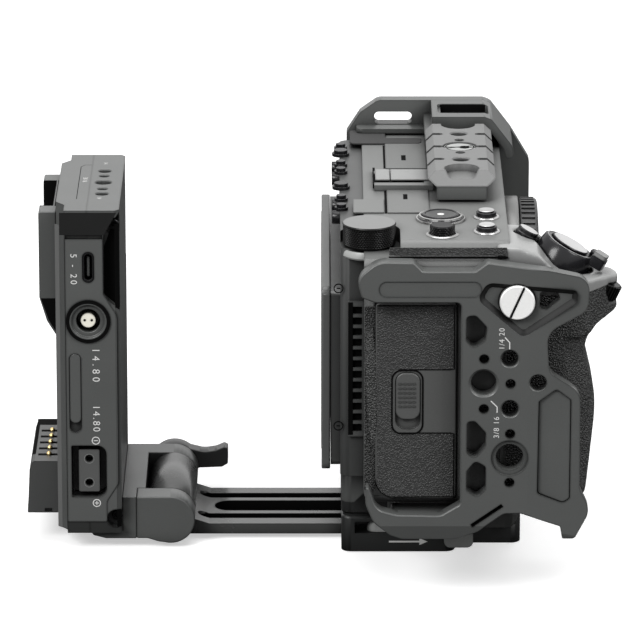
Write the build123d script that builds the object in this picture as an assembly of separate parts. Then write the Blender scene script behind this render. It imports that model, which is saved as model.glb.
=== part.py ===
from build123d import *
from math import cos, sin, radians, hypot, acos, tan
import os

# Camera cage on a quick-release clamp base with a battery-plate arm.
# Frame: +X is the lens direction, +Y the side away from the hand grip, +Z up.
# Origin: centre of the clamp base's bottom face. All sizes in millimetres.

# ---------------------------------------------------------------- driving sizes
running_gap = 0.05          # radial clearance of pins and dials in their bores
slide_gap = 0.15            # clearance of sliding fits, each side
seat_gap = 0.10             # clearance between pieces of different bodies that face each other

# clamp base
base_length = 59.0
base_width = 66.0
base_height = 12.0
base_floor = 1.3            # floor under the arm tunnel
base_corner_r = 3.2
base_step_x = 7.0           # right of this the near face steps back
base_step_depth = 9.0
lever_slot_bottom = 6.2
lever_slot_top = 10.2
lever_slot_depth = 9.4
dovetail_depth = 4.2
dovetail_half_top = 13.0
dovetail_half_bottom = 16.5
base_screw_x = 24.5
base_screw_z = 9.0
clamp_screw_r = 2.3
clamp_screw_head_r = 3.0

# clamp lever
lever_pivot_x = -18.0
lever_bar_width = 6.4
lever_pivot_inset = 4.0     # from the base's near face to the pivot axis
lever_pin_r = 1.5
lever_tab_start_x = 4.0
lever_tab_end_x = 13.4
lever_tab_reach = 12.0      # how far the tab stands out from the base
lever_tab_drop = 1.0

# slide arm
arm_width = 38.0
arm_thickness = 3.6
arm_clearance_z = 1.45      # ground to the arm's underside
arm_inner_end_x = 25.0
arm_slot_width = 10.8
arm_slot_start_x = -71.6
arm_groove_width = 5.0
arm_groove_offset = 10.8
arm_groove_start_x = -77.0
arm_groove_depth = 2.6
arm_stop_r = 3.4
arm_stop_x = -20.0

# hinge
hinge_x = -85.6
knuckle_r = 8.0
ear_outer_half = 29.0
pin_r = 2.5
crossbar_gap = 0.4          # between knuckle and crossbar
ear_seam_x = -96.8
hinge_foot_bottom = 3.1
hinge_foot_reach = 10.6     # foot under the battery plate
hinge_lever_thickness = 6.0
hinge_lever_reach = 18.0
lever_nut_r = 4.2
lever_nut_thickness = 2.4

# battery plate
plate_width = 70.0
plate_left_x = -122.2
plate_right_x = -101.4
plate_seam_x = -111.9
plate_bottom_z = 5.8
plate_top_z = 116.6
plate_wall = 2.4
plate_step = 2.9            # raised centre pad on the battery side
pad_half = 24.0
pad_bevel = 4.0
plate_corner_r = 2.5
plate_chamfer = 1.4
panel_thickness = 2.2
panel_left_x = -119.3
panel_bottom_z = 11.0
panel_top_z = 107.0
panel_upper_right_x = -106.8
panel_lower_right_x = -102.4
side_pocket_depth = 4.5

# battery receiver, latch and slider
receiver_half = 23.5
receiver_slot_half = 15.7
receiver_top_z = 113.0
receiver_straight_z = 84.0
receiver_bottom_z = 70.5
receiver_thickness = 5.8
latch_travel = 2.0
slider_travel = 3.0
slider_x = -116.1
slider_half_width = 2.0
slider_top_z = 68.4
slider_length = 23.5
slider_slot_length = 27.0

# contact block
contact_half = 23.2
contact_bottom_z = 10.2
contact_top_z = 28.0
contact_reach = 10.2
contact_pin_r = 0.9
contact_pin_pitch = 6.5
contact_pin_count = 5
contact_pin_x = -125.8

# ports
usb_x = -111.5
usb_z = 97.5
usb_width = 3.9
usb_height = 10.5
round_port_x = -111.7
round_port_z = 79.4
round_port_r = 7.1
outlet_x = -111.9
outlet_z = 28.2
outlet_pin_pitch = 8.2
outlet_width = 11.5
outlet_height = 17.8
insert_width = 6.8
insert_height = 14.4

# cage
quick_plate_top = 21.4
cage_base_top = 30.4
cage_base_bottom = quick_plate_top
pad_thickness = 0.8
grip_plate_out_y = -86.0
grip_plate_thickness = 5.5
plate_edge = 0.4            # broken edge of the side plates
skirt_width = 4.8           # sloping skirt along the grip plate's lower edge
skirt_depth = 1.6
wing_start_x = 29.5         # from here the grip plate turns towards the lens
wing_fall = 0.07            # fall per millimetre
recess_taper = 35.0         # slope of the walls of the three-sided recess
recess_depth = 1.6
inset_seat_depth = 2.2      # from the grip plate's main face to the inset panel's seat
inset_thickness = 0.9
window_right_x = 8.1
ledge_depth = 8.0
far_plate_in_y = 66.0
far_plate_thickness = 5.5
far_plate_top_z = 127.5
bridge_left_x = -1.5
bridge_right_x = 20.5
bridge_near_y = -25.6
bridge_top_z = 122.8
bridge_bottom_z = 117.6
rail_bottom_z = 121.9
rail_ridge_z = 124.2
rail_base_half = 8.1
rail_top_z = 126.5
rail_near_y = -21.3
rail_seat_r = 5.7           # round seats for screw heads in the rail
rail_seat_z = 124.2
rail_far_y = 38.0
rail_top_half = 8.6
rail_half = 11.0
loop_inner_y = 43.3
loop_thickness = 3.0
ledge_left_x = -24.2        # ledge of the bridge that holds the upper pad
ledge_near_y = 59.7
top_pad_thickness = 0.65
quarter_thread_r = 2.65     # minor radius of the 1/4"-20 threads
quarter_mouth = 0.45
three_eighths_thread_r = 4.05
three_eighths_mouth = 0.75
locating_hole_r = 1.6
silver_screw_r = 5.6

# camera
camera_bottom_z = cage_base_top + pad_thickness
deck_z = 116.8
camera_near_y = -78.0
camera_far_y = 64.0
camera_front_x = 23.5
camera_mid_x = -22.5        # main body meets the rear housing
camera_rear_x = -30.0
screen_rear_x = -36.0
screen_front_x = -33.2
lens_axis_z = 76.0
mount_r = 34.8
mount_bore_r = 26.0
mount_front_x = 28.5
cap_r = 34.0
cap_front_x = 34.8
cover_z = 104.0             # seam between the body and its top cover
deck_near_y = -71.2
screen_near_y = -58.0
screen_far_y = 58.0
screen_bottom_z = 36.0
screen_top_z = 97.2
vent_bottom_z = 49.8
vent_top_z = 95.0
vent_slot_count = 12
vent_slot_pitch = 3.56
vent_slot_height = 2.4
housing_near_y = -64.0
housing_far_y = 58.0
rear_stud_z = 108.0
rear_stud_r = 2.2
rear_stud_spots = [50.0, 36.0, 2.0, -12.0]
door_left_x = -18.9
door_right_x = 6.9
door_bottom_z = 33.4
door_top_z = 98.6
door_stand = 1.2            # how far the door stands out from the body
door_gap = 0.3
door_edge_r = 0.6           # rounded edge, which is also where the door turns
latch_slot_left_x = -12.6
latch_slot_right_x = -4.5
latch_slot_bottom_z = 56.5
latch_slot_top_z = 75.6
door_latch_length = 15.55
shutter_x = 43.6
shutter_y = -58.0
shutter_z = 112.4
shutter_tilt = 29.0
dial_x = -20.8
dial_y = -59.0
dial_r = 8.6
front_dial_x = 53.8
front_dial_y = -58.5
front_dial_z = 98.2
front_dial_r = 5.8
front_dial_half = 2.4
front_dial_tilt = 25.0
shutter_r = 6.2
collar_r = 10.0             # at the collar's foot
collar_top_r = 8.5
collar_height = 7.2
zoom_tab_angle = -25.0
button_travel = 0.8


# ---------------------------------------------------------------- shape helpers
def box(x0, x1, y0, y1, z0, z1):
    """Block between two opposite corners."""
    return Pos((x0 + x1) / 2, (y0 + y1) / 2, (z0 + z1) / 2) * Box(abs(x1 - x0), abs(y1 - y0), abs(z1 - z0))


def rod_x(y, z, r, x0, x1):
    return Pos((x0 + x1) / 2, y, z) * Rot(0, 90, 0) * Cylinder(r, abs(x1 - x0))


def rod_y(x, z, r, y0, y1):
    return Pos(x, (y0 + y1) / 2, z) * Rot(90, 0, 0) * Cylinder(r, abs(y1 - y0))


def rod_z(x, y, r, z0, z1):
    return Pos(x, y, (z0 + z1) / 2) * Cylinder(r, abs(z1 - z0))


def outline(points, place):
    """Face from corners (a, b, corner radius); place turns (a, b) into a point of the plane."""
    count = len(points)
    corners = []
    for i, (a, b, r) in enumerate(points):
        if r <= 0:
            corners.append(((a, b),))
            continue
        pa, pb, _ = points[i - 1]
        na, nb, _ = points[(i + 1) % count]
        before = hypot(pa - a, pb - b)
        after = hypot(na - a, nb - b)
        u = ((pa - a) / before, (pb - b) / before)
        v = ((na - a) / after, (nb - b) / after)
        half = acos(max(-1.0, min(1.0, u[0] * v[0] + u[1] * v[1]))) / 2
        reach = min(r / tan(half), 0.48 * before, 0.48 * after)
        r = reach * tan(half)
        middle = (u[0] + v[0], u[1] + v[1])
        size = hypot(*middle)
        inward = r / sin(half) - r
        start = (a + u[0] * reach, b + u[1] * reach)
        mid = (a + middle[0] / size * inward, b + middle[1] / size * inward)
        end = (a + v[0] * reach, b + v[1] * reach)
        corners.append((start, mid, end))
    edges = []
    for i, corner in enumerate(corners):
        if len(corner) == 3:
            edges.append(ThreePointArc(*[place(*p) for p in corner]))
        following = corners[(i + 1) % count][0]
        edges.append(Line(place(*corner[-1]), place(*following)))
    return Face(Wire(edges))


def prism_y(points, y0, y1):
    """Outline of (x, z, radius) corners, extruded along Y."""
    return Solid.extrude(outline(points, lambda a, b: Vector(a, y0, b)), Vector(0, y1 - y0, 0))


def prism_z(points, z0, z1):
    """Outline of (x, y, radius) corners, extruded along Z."""
    return Solid.extrude(outline(points, lambda a, b: Vector(a, b, z0)), Vector(0, 0, z1 - z0))


def prism_x(points, x0, x1):
    """Outline of (y, z, radius) corners, extruded along X."""
    return Solid.extrude(outline(points, lambda a, b: Vector(x0, a, b)), Vector(x1 - x0, 0, 0))


def door_outline(grow):
    """Outline (x, z) of the card door, with its big lower rear corner."""
    return [(door_left_x - grow, door_bottom_z - grow, 7.0), (door_right_x + grow, door_bottom_z - grow, 1.5),
            (door_right_x + grow, door_top_z + grow, 1.5), (door_left_x - grow, door_top_z + grow, 1.5)]


def rectangle(a0, a1, b0, b1, r=0.0):
    return [(a0, b0, r), (a1, b0, r), (a1, b1, r), (a0, b1, r)]


def mouth_y(x, z, hole_r, width, y_face, into):
    """Cone that chamfers a hole's mouth on a face at y_face; into is +1 or -1 along Y."""
    depth = width
    cone = Cone(hole_r + width, hole_r, depth)
    turn = Rot(-90, 0, 0) if into > 0 else Rot(90, 0, 0)
    return Pos(x, y_face + into * depth / 2, z) * turn * cone


def mouth_z(x, y, hole_r, width, z_face):
    """Cone that chamfers a hole's mouth on an upward face."""
    return Pos(x, y, z_face - width / 2) * Cone(hole_r, hole_r + width, width)


def slotted_head(r, height, slot_width, slot_depth):
    """Round screw head along +Z from z = 0, with a slot across its top."""
    head = Pos(0, 0, height / 2) * Cylinder(r, height)
    rims = head.edges().filter_by(GeomType.CIRCLE).sort_by(Axis.Z)[-1:]
    head = chamfer(rims, min(0.3, height / 4))
    return head - Pos(0, 0, height) * Box(3 * r, slot_width, 2 * slot_depth)


def socket_head(r, height, socket_r, socket_depth):
    """Round screw head along +Z from z = 0, with a hexagon socket."""
    head = Pos(0, 0, height / 2) * Cylinder(r, height)
    rims = head.edges().filter_by(GeomType.CIRCLE).sort_by(Axis.Z)[-1:]
    head = chamfer(rims, min(0.3, height / 4))
    socket = extrude(RegularPolygon(socket_r, 6), socket_depth)
    return head - Pos(0, 0, height - socket_depth) * socket


def knurled_disc(r, height, tooth_count, tooth_depth, edge_chamfer):
    """Disc along +Z from z = 0, with straight grooves round its side."""
    disc = Pos(0, 0, height / 2) * Cylinder(r, height)
    disc = chamfer(disc.edges().filter_by(GeomType.CIRCLE), edge_chamfer)
    groove = Pos(r, 0, height / 2) * Rot(0, 0, 45) * Box(tooth_depth, tooth_depth, height + 1)
    return disc - [Rot(0, 0, 360 / tooth_count * i) * groove for i in range(tooth_count)]


def solids_of(shape):
    """A compound of the separate solids in a shape or a list of shapes."""
    found = []
    for item in shape if isinstance(shape, (list, tuple)) else [shape]:
        found += list(item.solids())
    return found[0] if len(found) == 1 else Compound(children=found)


parts = {}

# ---------------------------------------------------------------- clamp base
base_x0 = -base_length / 2
base_x1 = base_length / 2
base_near = -base_width / 2
base_far = base_width / 2
tunnel_z0 = base_floor
tunnel_z1 = arm_clearance_z + arm_thickness + slide_gap
dovetail_z0 = base_height - dovetail_depth
lever_pivot_y = base_near + lever_pivot_inset
lever_z0 = lever_slot_bottom + slide_gap
lever_z1 = lever_slot_top - slide_gap


def dovetail_section(gap):
    """Cross-section (y, z) of the dovetail; gap widens it for the channel."""
    top = dovetail_half_top + gap
    bottom = dovetail_half_bottom + gap
    return [(-bottom, dovetail_z0 - gap, 0), (bottom, dovetail_z0 - gap, 0), (top, base_height, 0),
            (-top, base_height, 0)]


def make_clamp_base():
    step_y = base_near + base_step_depth
    plan = [(base_x0, base_near, base_corner_r), (base_step_x, base_near, 3.0),
            (base_step_x + 2.2, step_y, 1.0),
            (base_x1, step_y, base_corner_r), (base_x1, base_far, base_corner_r),
            (base_x0, base_far, base_corner_r)]
    block = prism_z(plan, 0, base_height)
    block = chamfer(block.faces().sort_by(Axis.Z)[-1].outer_wire().edges(), 0.5)
    tunnel_half = arm_width / 2 + slide_gap
    block -= box(base_x0 - 1, base_x1 + 1, -tunnel_half, tunnel_half, tunnel_z0, tunnel_z1)
    block -= prism_x(dovetail_section(slide_gap), base_x0 - 1, base_x1 + 1)
    block -= box(-base_x1, base_x1, -dovetail_half_top - slide_gap, dovetail_half_top + slide_gap,
                 base_height - 0.01, base_height + 1)
    slot_left = lever_pivot_x - lever_bar_width / 2 - 3.9
    block -= box(slot_left, base_x1 + 1, base_near - 1, base_near + lever_slot_depth, lever_slot_bottom,
                 lever_slot_top)
    block -= rod_z(lever_pivot_x, lever_pivot_y, lever_pin_r + running_gap, lever_slot_bottom - 3,
                   base_height + 1)
    block -= rod_z(lever_pivot_x, lever_pivot_y, 2.6 + running_gap, base_height - 1.4, base_height + 1)
    block -= rod_y(base_screw_x, base_screw_z, clamp_screw_r, step_y - 1, -dovetail_half_bottom - 2)
    for y in (-1, 1):
        block -= rod_z(0, y * (base_far - 4.5), 1.6, -1, 5)
    return block


parts["clamp_base"] = make_clamp_base()


def make_clamp_lever():
    half = lever_bar_width / 2
    y0 = lever_pivot_y - half
    y1 = lever_pivot_y + half
    tab_y = base_near - lever_tab_reach
    bar = prism_z([(lever_pivot_x - half, y0, half), (lever_tab_start_x, y0, 1.5),
                   (lever_tab_start_x, tab_y, 2.4),
                   (lever_tab_end_x, tab_y, 2.4), (lever_tab_end_x, y1, 2.0),
                   (lever_pivot_x - half, y1, half)],
                  lever_z0, lever_z1)
    tab = prism_y([(lever_tab_start_x, lever_z1, 0), (lever_tab_start_x, lever_z0 - lever_tab_drop, 2.0),
                   (lever_tab_end_x, lever_z0 - lever_tab_drop, 2.0), (lever_tab_end_x, lever_z1, 0)],
                  tab_y, base_near - 0.8)
    lever = bar + tab
    return lever - rod_z(lever_pivot_x, lever_pivot_y, lever_pin_r + running_gap, lever_z0 - 3, lever_z1 + 1)


parts["clamp_lever"] = make_clamp_lever()
parts["clamp_lever_pivot"] = (
    Pos(lever_pivot_x, lever_pivot_y, base_height - 1.4) * slotted_head(2.6, 1.3, 0.7, 0.6)
    + rod_z(lever_pivot_x, lever_pivot_y, lever_pin_r, lever_slot_bottom - 2.9, base_height - 1.4))

screw_seat_y = base_near + base_step_depth
parts["clamp_screw"] = (
    Pos(base_screw_x, screw_seat_y, base_screw_z) * Rot(90, 0, 0)
    * socket_head(clamp_screw_head_r, 2.6, 1.7, 1.6)
    + rod_y(base_screw_x, base_screw_z, clamp_screw_r, screw_seat_y, -dovetail_half_bottom - 2))

# ---------------------------------------------------------------- slide arm
arm_z0 = arm_clearance_z
arm_z1 = arm_z0 + arm_thickness
hinge_z = arm_z0 + knuckle_r
arm_half = arm_width / 2


def stadium_z(x0, x1, y, width, z0, z1):
    """Round-ended slot along X."""
    return prism_z(rectangle(x0, x1, y - width / 2, y + width / 2, width / 2 * 0.999), z0, z1)


def make_slide_arm():
    bar = box(hinge_x, arm_inner_end_x, -arm_half, arm_half, arm_z0, arm_z1)
    knuckle = rod_y(hinge_x, hinge_z, knuckle_r, -arm_half, arm_half)
    web = prism_y([(hinge_x, arm_z0, 0), (hinge_x + 12.5, arm_z0, 0), (hinge_x + 12.5, arm_z1, 0),
                   (hinge_x + 7.6, arm_z1 + 1.6, 0), (hinge_x, hinge_z, 0)], -arm_half, arm_half)
    arm = bar + knuckle + web
    arm -= stadium_z(arm_slot_start_x, arm_inner_end_x - 6, 0, arm_slot_width, arm_z0 - 1, arm_z1 + 1)
    for side in (-1, 1):
        arm -= stadium_z(arm_groove_start_x, arm_inner_end_x + 10, side * arm_groove_offset, arm_groove_width,
                         arm_z1 - arm_groove_depth, arm_z1 + 3)
    arm -= rod_y(hinge_x, hinge_z, pin_r + running_gap, -arm_half - 1, arm_half + 1)
    return arm


parts["slide_arm"] = make_slide_arm()
parts["arm_stop_screw"] = Pos(arm_stop_x, 0, tunnel_z1) * (
    Pos(0, 0, -(arm_thickness - 0.6) / 2) * Cylinder(arm_stop_r, arm_thickness - 0.6))

# ---------------------------------------------------------------- hinge on the battery plate
ear_inner_half = arm_half + 0.2
crossbar_x = hinge_x - knuckle_r - crossbar_gap
hinge_top_z = hinge_z + knuckle_r
foot_left_x = plate_right_x - hinge_foot_reach
pin_near_y = -ear_outer_half + 2.0
lever_in_y = ear_outer_half + seat_gap
lever_out_y = lever_in_y + hinge_lever_thickness
pin_far_y = lever_out_y + lever_nut_thickness


def ear_profile(left_x):
    """Side view (x, z) of a hinge ear: straight block with a round nose about the hinge axis."""
    return [(left_x, hinge_foot_bottom, 0), (hinge_x - 7.6, hinge_foot_bottom, 3.0),
            (hinge_x - 4.0, hinge_z - knuckle_r + 0.5, 3.0),
            (hinge_x, hinge_z - knuckle_r, 0), (hinge_x, hinge_top_z, 0), (left_x, hinge_top_z, 0)]


def make_ear(left_x, y0, y1):
    """Block with a round nose; the pin's bore goes through unless it ends inside the near ear."""
    ear = prism_y(ear_profile(left_x), y0, y1) + rod_y(hinge_x, hinge_z, knuckle_r, y0, y1)
    return ear - rod_y(hinge_x, hinge_z, pin_r, pin_near_y, pin_far_y)


def make_hinge_bracket():
    foot = prism_y([(foot_left_x, plate_bottom_z, 0), (foot_left_x + 1.0, plate_bottom_z - 1.6, 1.0),
                    (foot_left_x + 5.2, hinge_foot_bottom, 2.0), (crossbar_x, hinge_foot_bottom, 0),
                    (crossbar_x, hinge_top_z, 0), (plate_right_x, hinge_top_z, 0),
                    (plate_right_x, plate_bottom_z, 0)],
                   -ear_outer_half, ear_outer_half)
    bracket = foot - box(ear_seam_x, crossbar_x + 1, -ear_outer_half - 1, -ear_inner_half, 0, hinge_top_z + 1)
    bracket += make_ear(crossbar_x - 1, ear_inner_half, ear_outer_half)
    return bracket


parts["hinge_bracket"] = make_hinge_bracket()
parts["hinge_ear"] = make_ear(ear_seam_x, -ear_outer_half, -ear_inner_half)

parts["hinge_pin"] = rod_y(hinge_x, hinge_z, pin_r, pin_near_y, pin_far_y)


def make_hinge_lever():
    tip_x = hinge_x + hinge_lever_reach
    hub = rod_y(hinge_x, hinge_z, knuckle_r, lever_in_y, lever_out_y)
    handle = prism_y([(hinge_x, hinge_z - 2.0, 0), (hinge_x + 8.5, hinge_z - 0.7, 3),
                      (tip_x - 2.0, hinge_z - 0.4, 1.5),
                      (tip_x, hinge_z + 0.8, 0.8), (tip_x, hinge_z + 6.2, 0.8),
                      (tip_x - 1.2, hinge_z + 6.7, 0.6),
                      (tip_x - 4.0, hinge_z + 5.5, 4), (hinge_x + 10.0, hinge_z + 4.9, 8),
                      (hinge_x + 4.0, hinge_z + 6.4, 5),
                      (hinge_x, hinge_z + knuckle_r, 0)], lever_in_y, lever_out_y)
    lever = hub + handle
    return lever - rod_y(hinge_x, hinge_z, pin_r + running_gap, lever_in_y - 1, lever_out_y + 1)


parts["hinge_lever"] = make_hinge_lever()
parts["lever_nut"] = (rod_y(hinge_x, hinge_z, lever_nut_r, lever_out_y + seat_gap, pin_far_y)
                      - rod_y(hinge_x, hinge_z, pin_r, lever_out_y - 1, pin_far_y + 1))

# ---------------------------------------------------------------- battery plate shells
plate_half = plate_width / 2
slant_half = pad_half + pad_bevel


def rear_shell_plan():
    """Plan (x, y) of the rear shell, with its raised centre pad and bevelled steps."""
    return [(plate_seam_x, -plate_half, 0), (plate_seam_x, plate_half, 0), (panel_left_x, plate_half, 0),
            (panel_left_x, slant_half, 0), (plate_left_x, pad_half, 0), (plate_left_x, -pad_half, 0),
            (panel_left_x, -slant_half, 0), (panel_left_x, -plate_half, 0)]


def front_shell_plan():
    """Plan (x, y) of the front shell, with bevelled upright corners."""
    return [(plate_seam_x, -plate_half, 0), (plate_right_x - plate_chamfer, -plate_half, 0),
            (plate_right_x, -plate_half + plate_chamfer, 0), (plate_right_x, plate_half - plate_chamfer, 0),
            (plate_right_x - plate_chamfer, plate_half, 0), (plate_seam_x, plate_half, 0)]


def bottom_chamfer_cut(x0, x1):
    """Wedges that bevel the near and far bottom edges of the shells."""
    cuts = []
    for side in (-1, 1):
        section = [(side * plate_half, plate_bottom_z + 5.3, 0),
                   (side * (plate_half + 1), plate_bottom_z + 5.3, 0),
                   (side * (plate_half + 1), plate_bottom_z - 1, 0),
                   (side * (plate_half - 4.4), plate_bottom_z - 1, 0)]
        cuts.append(prism_x(section, x0 - 1, x1 + 1))
    return cuts


def panel_outline(margin):
    """Side view (x, z) of the port panel, grown by margin for its seat."""
    left = panel_left_x + 0.3 - margin
    top = panel_top_z + margin
    bottom = panel_bottom_z - margin
    upper = panel_upper_right_x + margin
    lower = panel_lower_right_x + margin
    return [(left, bottom, 0), (-106.2 + margin, bottom, 0.5), (-106.2 + margin, bottom + 7.0, 2.5),
            (lower, bottom + 13.0, 2.5),
            (lower, round_port_z + 2.0, 5.0), (upper, round_port_z + 9.0, 2.0), (upper, top, 0),
            (left, top, 0)]


def corner_screw_spots():
    """Centres (x, z) of the screws in the plate's side corners."""
    return [(-103.3, 110.9), (-103.0, 11.8)]


screw_seat_depth = side_pocket_depth + 1.4
shell_inner_half = plate_half - side_pocket_depth - plate_wall
shell_inner_bottom = plate_bottom_z + plate_wall + 5.0
shell_inner_top = plate_top_z - plate_wall - 6.0


def make_plate_shell(plan, x0, x1, inner_x0, inner_x1):
    body = prism_z(plan, plate_bottom_z, plate_top_z)
    for cut in bottom_chamfer_cut(x0, x1):
        body -= cut
    return body - box(inner_x0, inner_x1, -shell_inner_half, shell_inner_half, shell_inner_bottom,
                      shell_inner_top)


rear_shell = make_plate_shell(rear_shell_plan(), plate_left_x, plate_seam_x,
                              panel_left_x + plate_wall, plate_seam_x + 1)
front_shell = make_plate_shell(front_shell_plan(), plate_seam_x, plate_right_x,
                               plate_seam_x - 1, plate_right_x - plate_wall)

# far-side relief that mirrors the near side, and the near side's recesses
for side in (-1, 1):
    face_y = side * plate_half
    pocket = prism_y([(panel_upper_right_x + 0.15, round_port_z + 8.0, 1.5),
                      (plate_right_x + 1.0, round_port_z + 2.6, 0),
                      (plate_right_x + 1.0, plate_top_z - 0.4, 0),
                      (plate_right_x - 0.2, plate_top_z - 1.0, 0),
                      (panel_upper_right_x + 0.15, panel_top_z + 1.2, 0)],
                     face_y - side * side_pocket_depth, face_y + side)
    front_shell -= pocket
    groove = box(panel_left_x + 0.3, panel_upper_right_x, face_y - side * 1.2, face_y + side, panel_top_z,
                 panel_top_z + 1.9)
    front_shell -= groove
    rear_shell -= groove
    for screw_x, screw_z in corner_screw_spots():
        front_shell -= rod_y(screw_x, screw_z, 3.4, face_y - side * screw_seat_depth, face_y + side)
        front_shell -= rod_y(screw_x, screw_z, 1.0, face_y - side * (screw_seat_depth + 3.8), face_y)

panel_seat = prism_y(panel_outline(0.1), -plate_half - 1, -plate_half + panel_thickness + 0.05)
rear_shell -= panel_seat
front_shell -= panel_seat

quarter_depth = 7.5
top_holes = [(0.0, quarter_thread_r), (8.0, locating_hole_r), (-8.0, locating_hole_r), (14.2, 2.05),
             (-14.2, 2.05)]
top_hole_x = plate_seam_x + 4.35
for hole_y, hole_r in top_holes:
    front_shell -= rod_z(top_hole_x, hole_y, hole_r, plate_top_z - quarter_depth, plate_top_z + 1)
    front_shell -= mouth_z(top_hole_x, hole_y, hole_r, 0.35, plate_top_z)


def panel_port_cuts():
    """Openings through the port panel and on into the shells."""
    y0 = -plate_half - 1
    y1 = -plate_half + 9.0
    usb = prism_y(rectangle(usb_x - usb_width / 2, usb_x + usb_width / 2, usb_z - usb_height / 2,
                            usb_z + usb_height / 2,
                            usb_width / 2 * 0.999), y0, y1)
    port = rod_y(round_port_x, round_port_z, round_port_r, y0, y1)
    outlet = prism_y([(outlet_x - outlet_width / 2, outlet_z - outlet_height / 2, 0.5),
                      (outlet_x + outlet_width / 2, outlet_z - outlet_height / 2, 3.0),
                      (outlet_x + outlet_width / 2, outlet_z + outlet_height / 2, 3.0),
                      (outlet_x - outlet_width / 2, outlet_z + outlet_height / 2, 0.5)], y0, y1)
    return [usb, port, outlet]


slider_slot = prism_y(rectangle(slider_x - slider_half_width, slider_x + slider_half_width,
                                slider_top_z - slider_slot_length, slider_top_z, slider_half_width * 0.999),
                      -plate_half - 1, -plate_half + 1.7)
port_panel = prism_y(panel_outline(0.0), -plate_half, -plate_half + panel_thickness)
for cut in panel_port_cuts():
    port_panel -= cut
    rear_shell -= cut
    front_shell -= cut
port_panel -= slider_slot
parts["plate_rear_shell"] = rear_shell
parts["plate_front_shell"] = front_shell
parts["port_panel"] = port_panel

shell_screws = []
for side in (-1, 1):
    turn = Rot(90, 0, 0) if side < 0 else Rot(-90, 0, 0)
    for screw_x, screw_z in corner_screw_spots():
        seat_y = side * (plate_half - screw_seat_depth)
        shell_screws.append(Pos(screw_x, seat_y, screw_z) * turn * socket_head(1.8, 1.8, 1.0, 1.0)
                            + rod_y(screw_x, screw_z, 1.0, seat_y - side * 3.7, seat_y))
parts["plate_screws"] = shell_screws

# ---------------------------------------------------------------- battery receiver, latch, slider, contacts
receiver_out_x = plate_left_x - receiver_thickness


receiver_slot_top_z = receiver_top_z + 1.0
receiver_slot_foot_z = receiver_straight_z - 2.0
receiver_slot_taper = 5.0


def slot_half_at(z):
    """Half width of the receiver's slot, which narrows towards its foot."""
    down = (receiver_slot_top_z - z) / (receiver_slot_top_z - receiver_slot_foot_z)
    return receiver_slot_half - receiver_slot_taper * down


def make_battery_receiver():
    side_view = [(plate_left_x, receiver_bottom_z, 0), (plate_left_x, receiver_top_z, 0),
                 (receiver_out_x, receiver_top_z, 0.8), (receiver_out_x, receiver_straight_z, 1.5),
                 (receiver_out_x + 2.4, receiver_straight_z - 8.0, 4.0)]
    block = prism_y(side_view, -receiver_half, receiver_half)
    top = slot_half_at(receiver_slot_top_z)
    foot = slot_half_at(receiver_slot_foot_z)
    wedge = prism_x([(-top, receiver_slot_top_z, 0), (top, receiver_slot_top_z, 0),
                     (foot, receiver_slot_foot_z, 2.0),
                     (-foot, receiver_slot_foot_z, 2.0)], receiver_out_x - 1, plate_left_x - 1.4)
    return block - wedge


parts["battery_receiver"] = make_battery_receiver()


def make_battery_latch():
    """Spring catch low in the receiver's slot, which draws back towards the plate."""
    front = receiver_out_x + 0.5
    back = plate_left_x - 1.5 - latch_travel
    latch_top_z = receiver_straight_z + 12.0
    latch_foot_z = latch_top_z - 10.0
    top = slot_half_at(latch_top_z) - 0.3
    foot = slot_half_at(latch_foot_z) - 0.3
    return prism_x([(-top, latch_top_z, 1.0), (top, latch_top_z, 1.0), (foot, latch_foot_z, 1.5),
                    (-foot, latch_foot_z, 1.5)],
                   front, back)


parts["battery_latch"] = make_battery_latch()

slider_z1 = slider_top_z - slide_gap
slider_z0 = slider_z1 - slider_length
parts["release_slider"] = prism_y(
    rectangle(slider_x - slider_half_width + slide_gap, slider_x + slider_half_width - slide_gap, slider_z0,
              slider_z1,
              (slider_half_width - slide_gap) * 0.999), -plate_half + 0.1, -plate_half + 1.6)


def make_contact_block():
    x1 = plate_left_x
    x0 = x1 - contact_reach
    section = [(x1, contact_bottom_z, 0), (x1, contact_top_z, 0), (x0 + 1.4, contact_top_z, 1.0),
               (x0 + 0.4, contact_top_z - 3.0, 1.0),
               (x0, contact_bottom_z + 6.0, 0), (x0 - 0.4, contact_bottom_z, 0.4)]
    block = prism_y(section, -contact_half, contact_half)
    first = -(contact_pin_count - 1) / 2 * contact_pin_pitch
    for i in range(contact_pin_count):
        y = first + i * contact_pin_pitch - 3.0
        block -= box(contact_pin_x - 3.6, contact_pin_x + 3.4, y - 1.1, y + 1.1, contact_top_z - 4.0,
                     contact_top_z + 1)
    notch_x = x0 + 6.5
    block -= box(notch_x - 1.2, notch_x + 1.2, -contact_half - 1, -contact_half + 1.2,
                 contact_bottom_z + 0.4, contact_bottom_z + 1.5)
    return block


parts["contact_block"] = make_contact_block()
contact_pins = []
for i in range(contact_pin_count):
    pin_y = (i - (contact_pin_count - 1) / 2) * contact_pin_pitch - 3.0
    pin = rod_z(contact_pin_x, pin_y, contact_pin_r, contact_top_z - 4.0, contact_top_z + 0.2)
    pin += Pos(contact_pin_x, pin_y, contact_top_z + 0.2) * Sphere(contact_pin_r)
    contact_pins.append(pin)
parts["contact_pins"] = contact_pins

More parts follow.
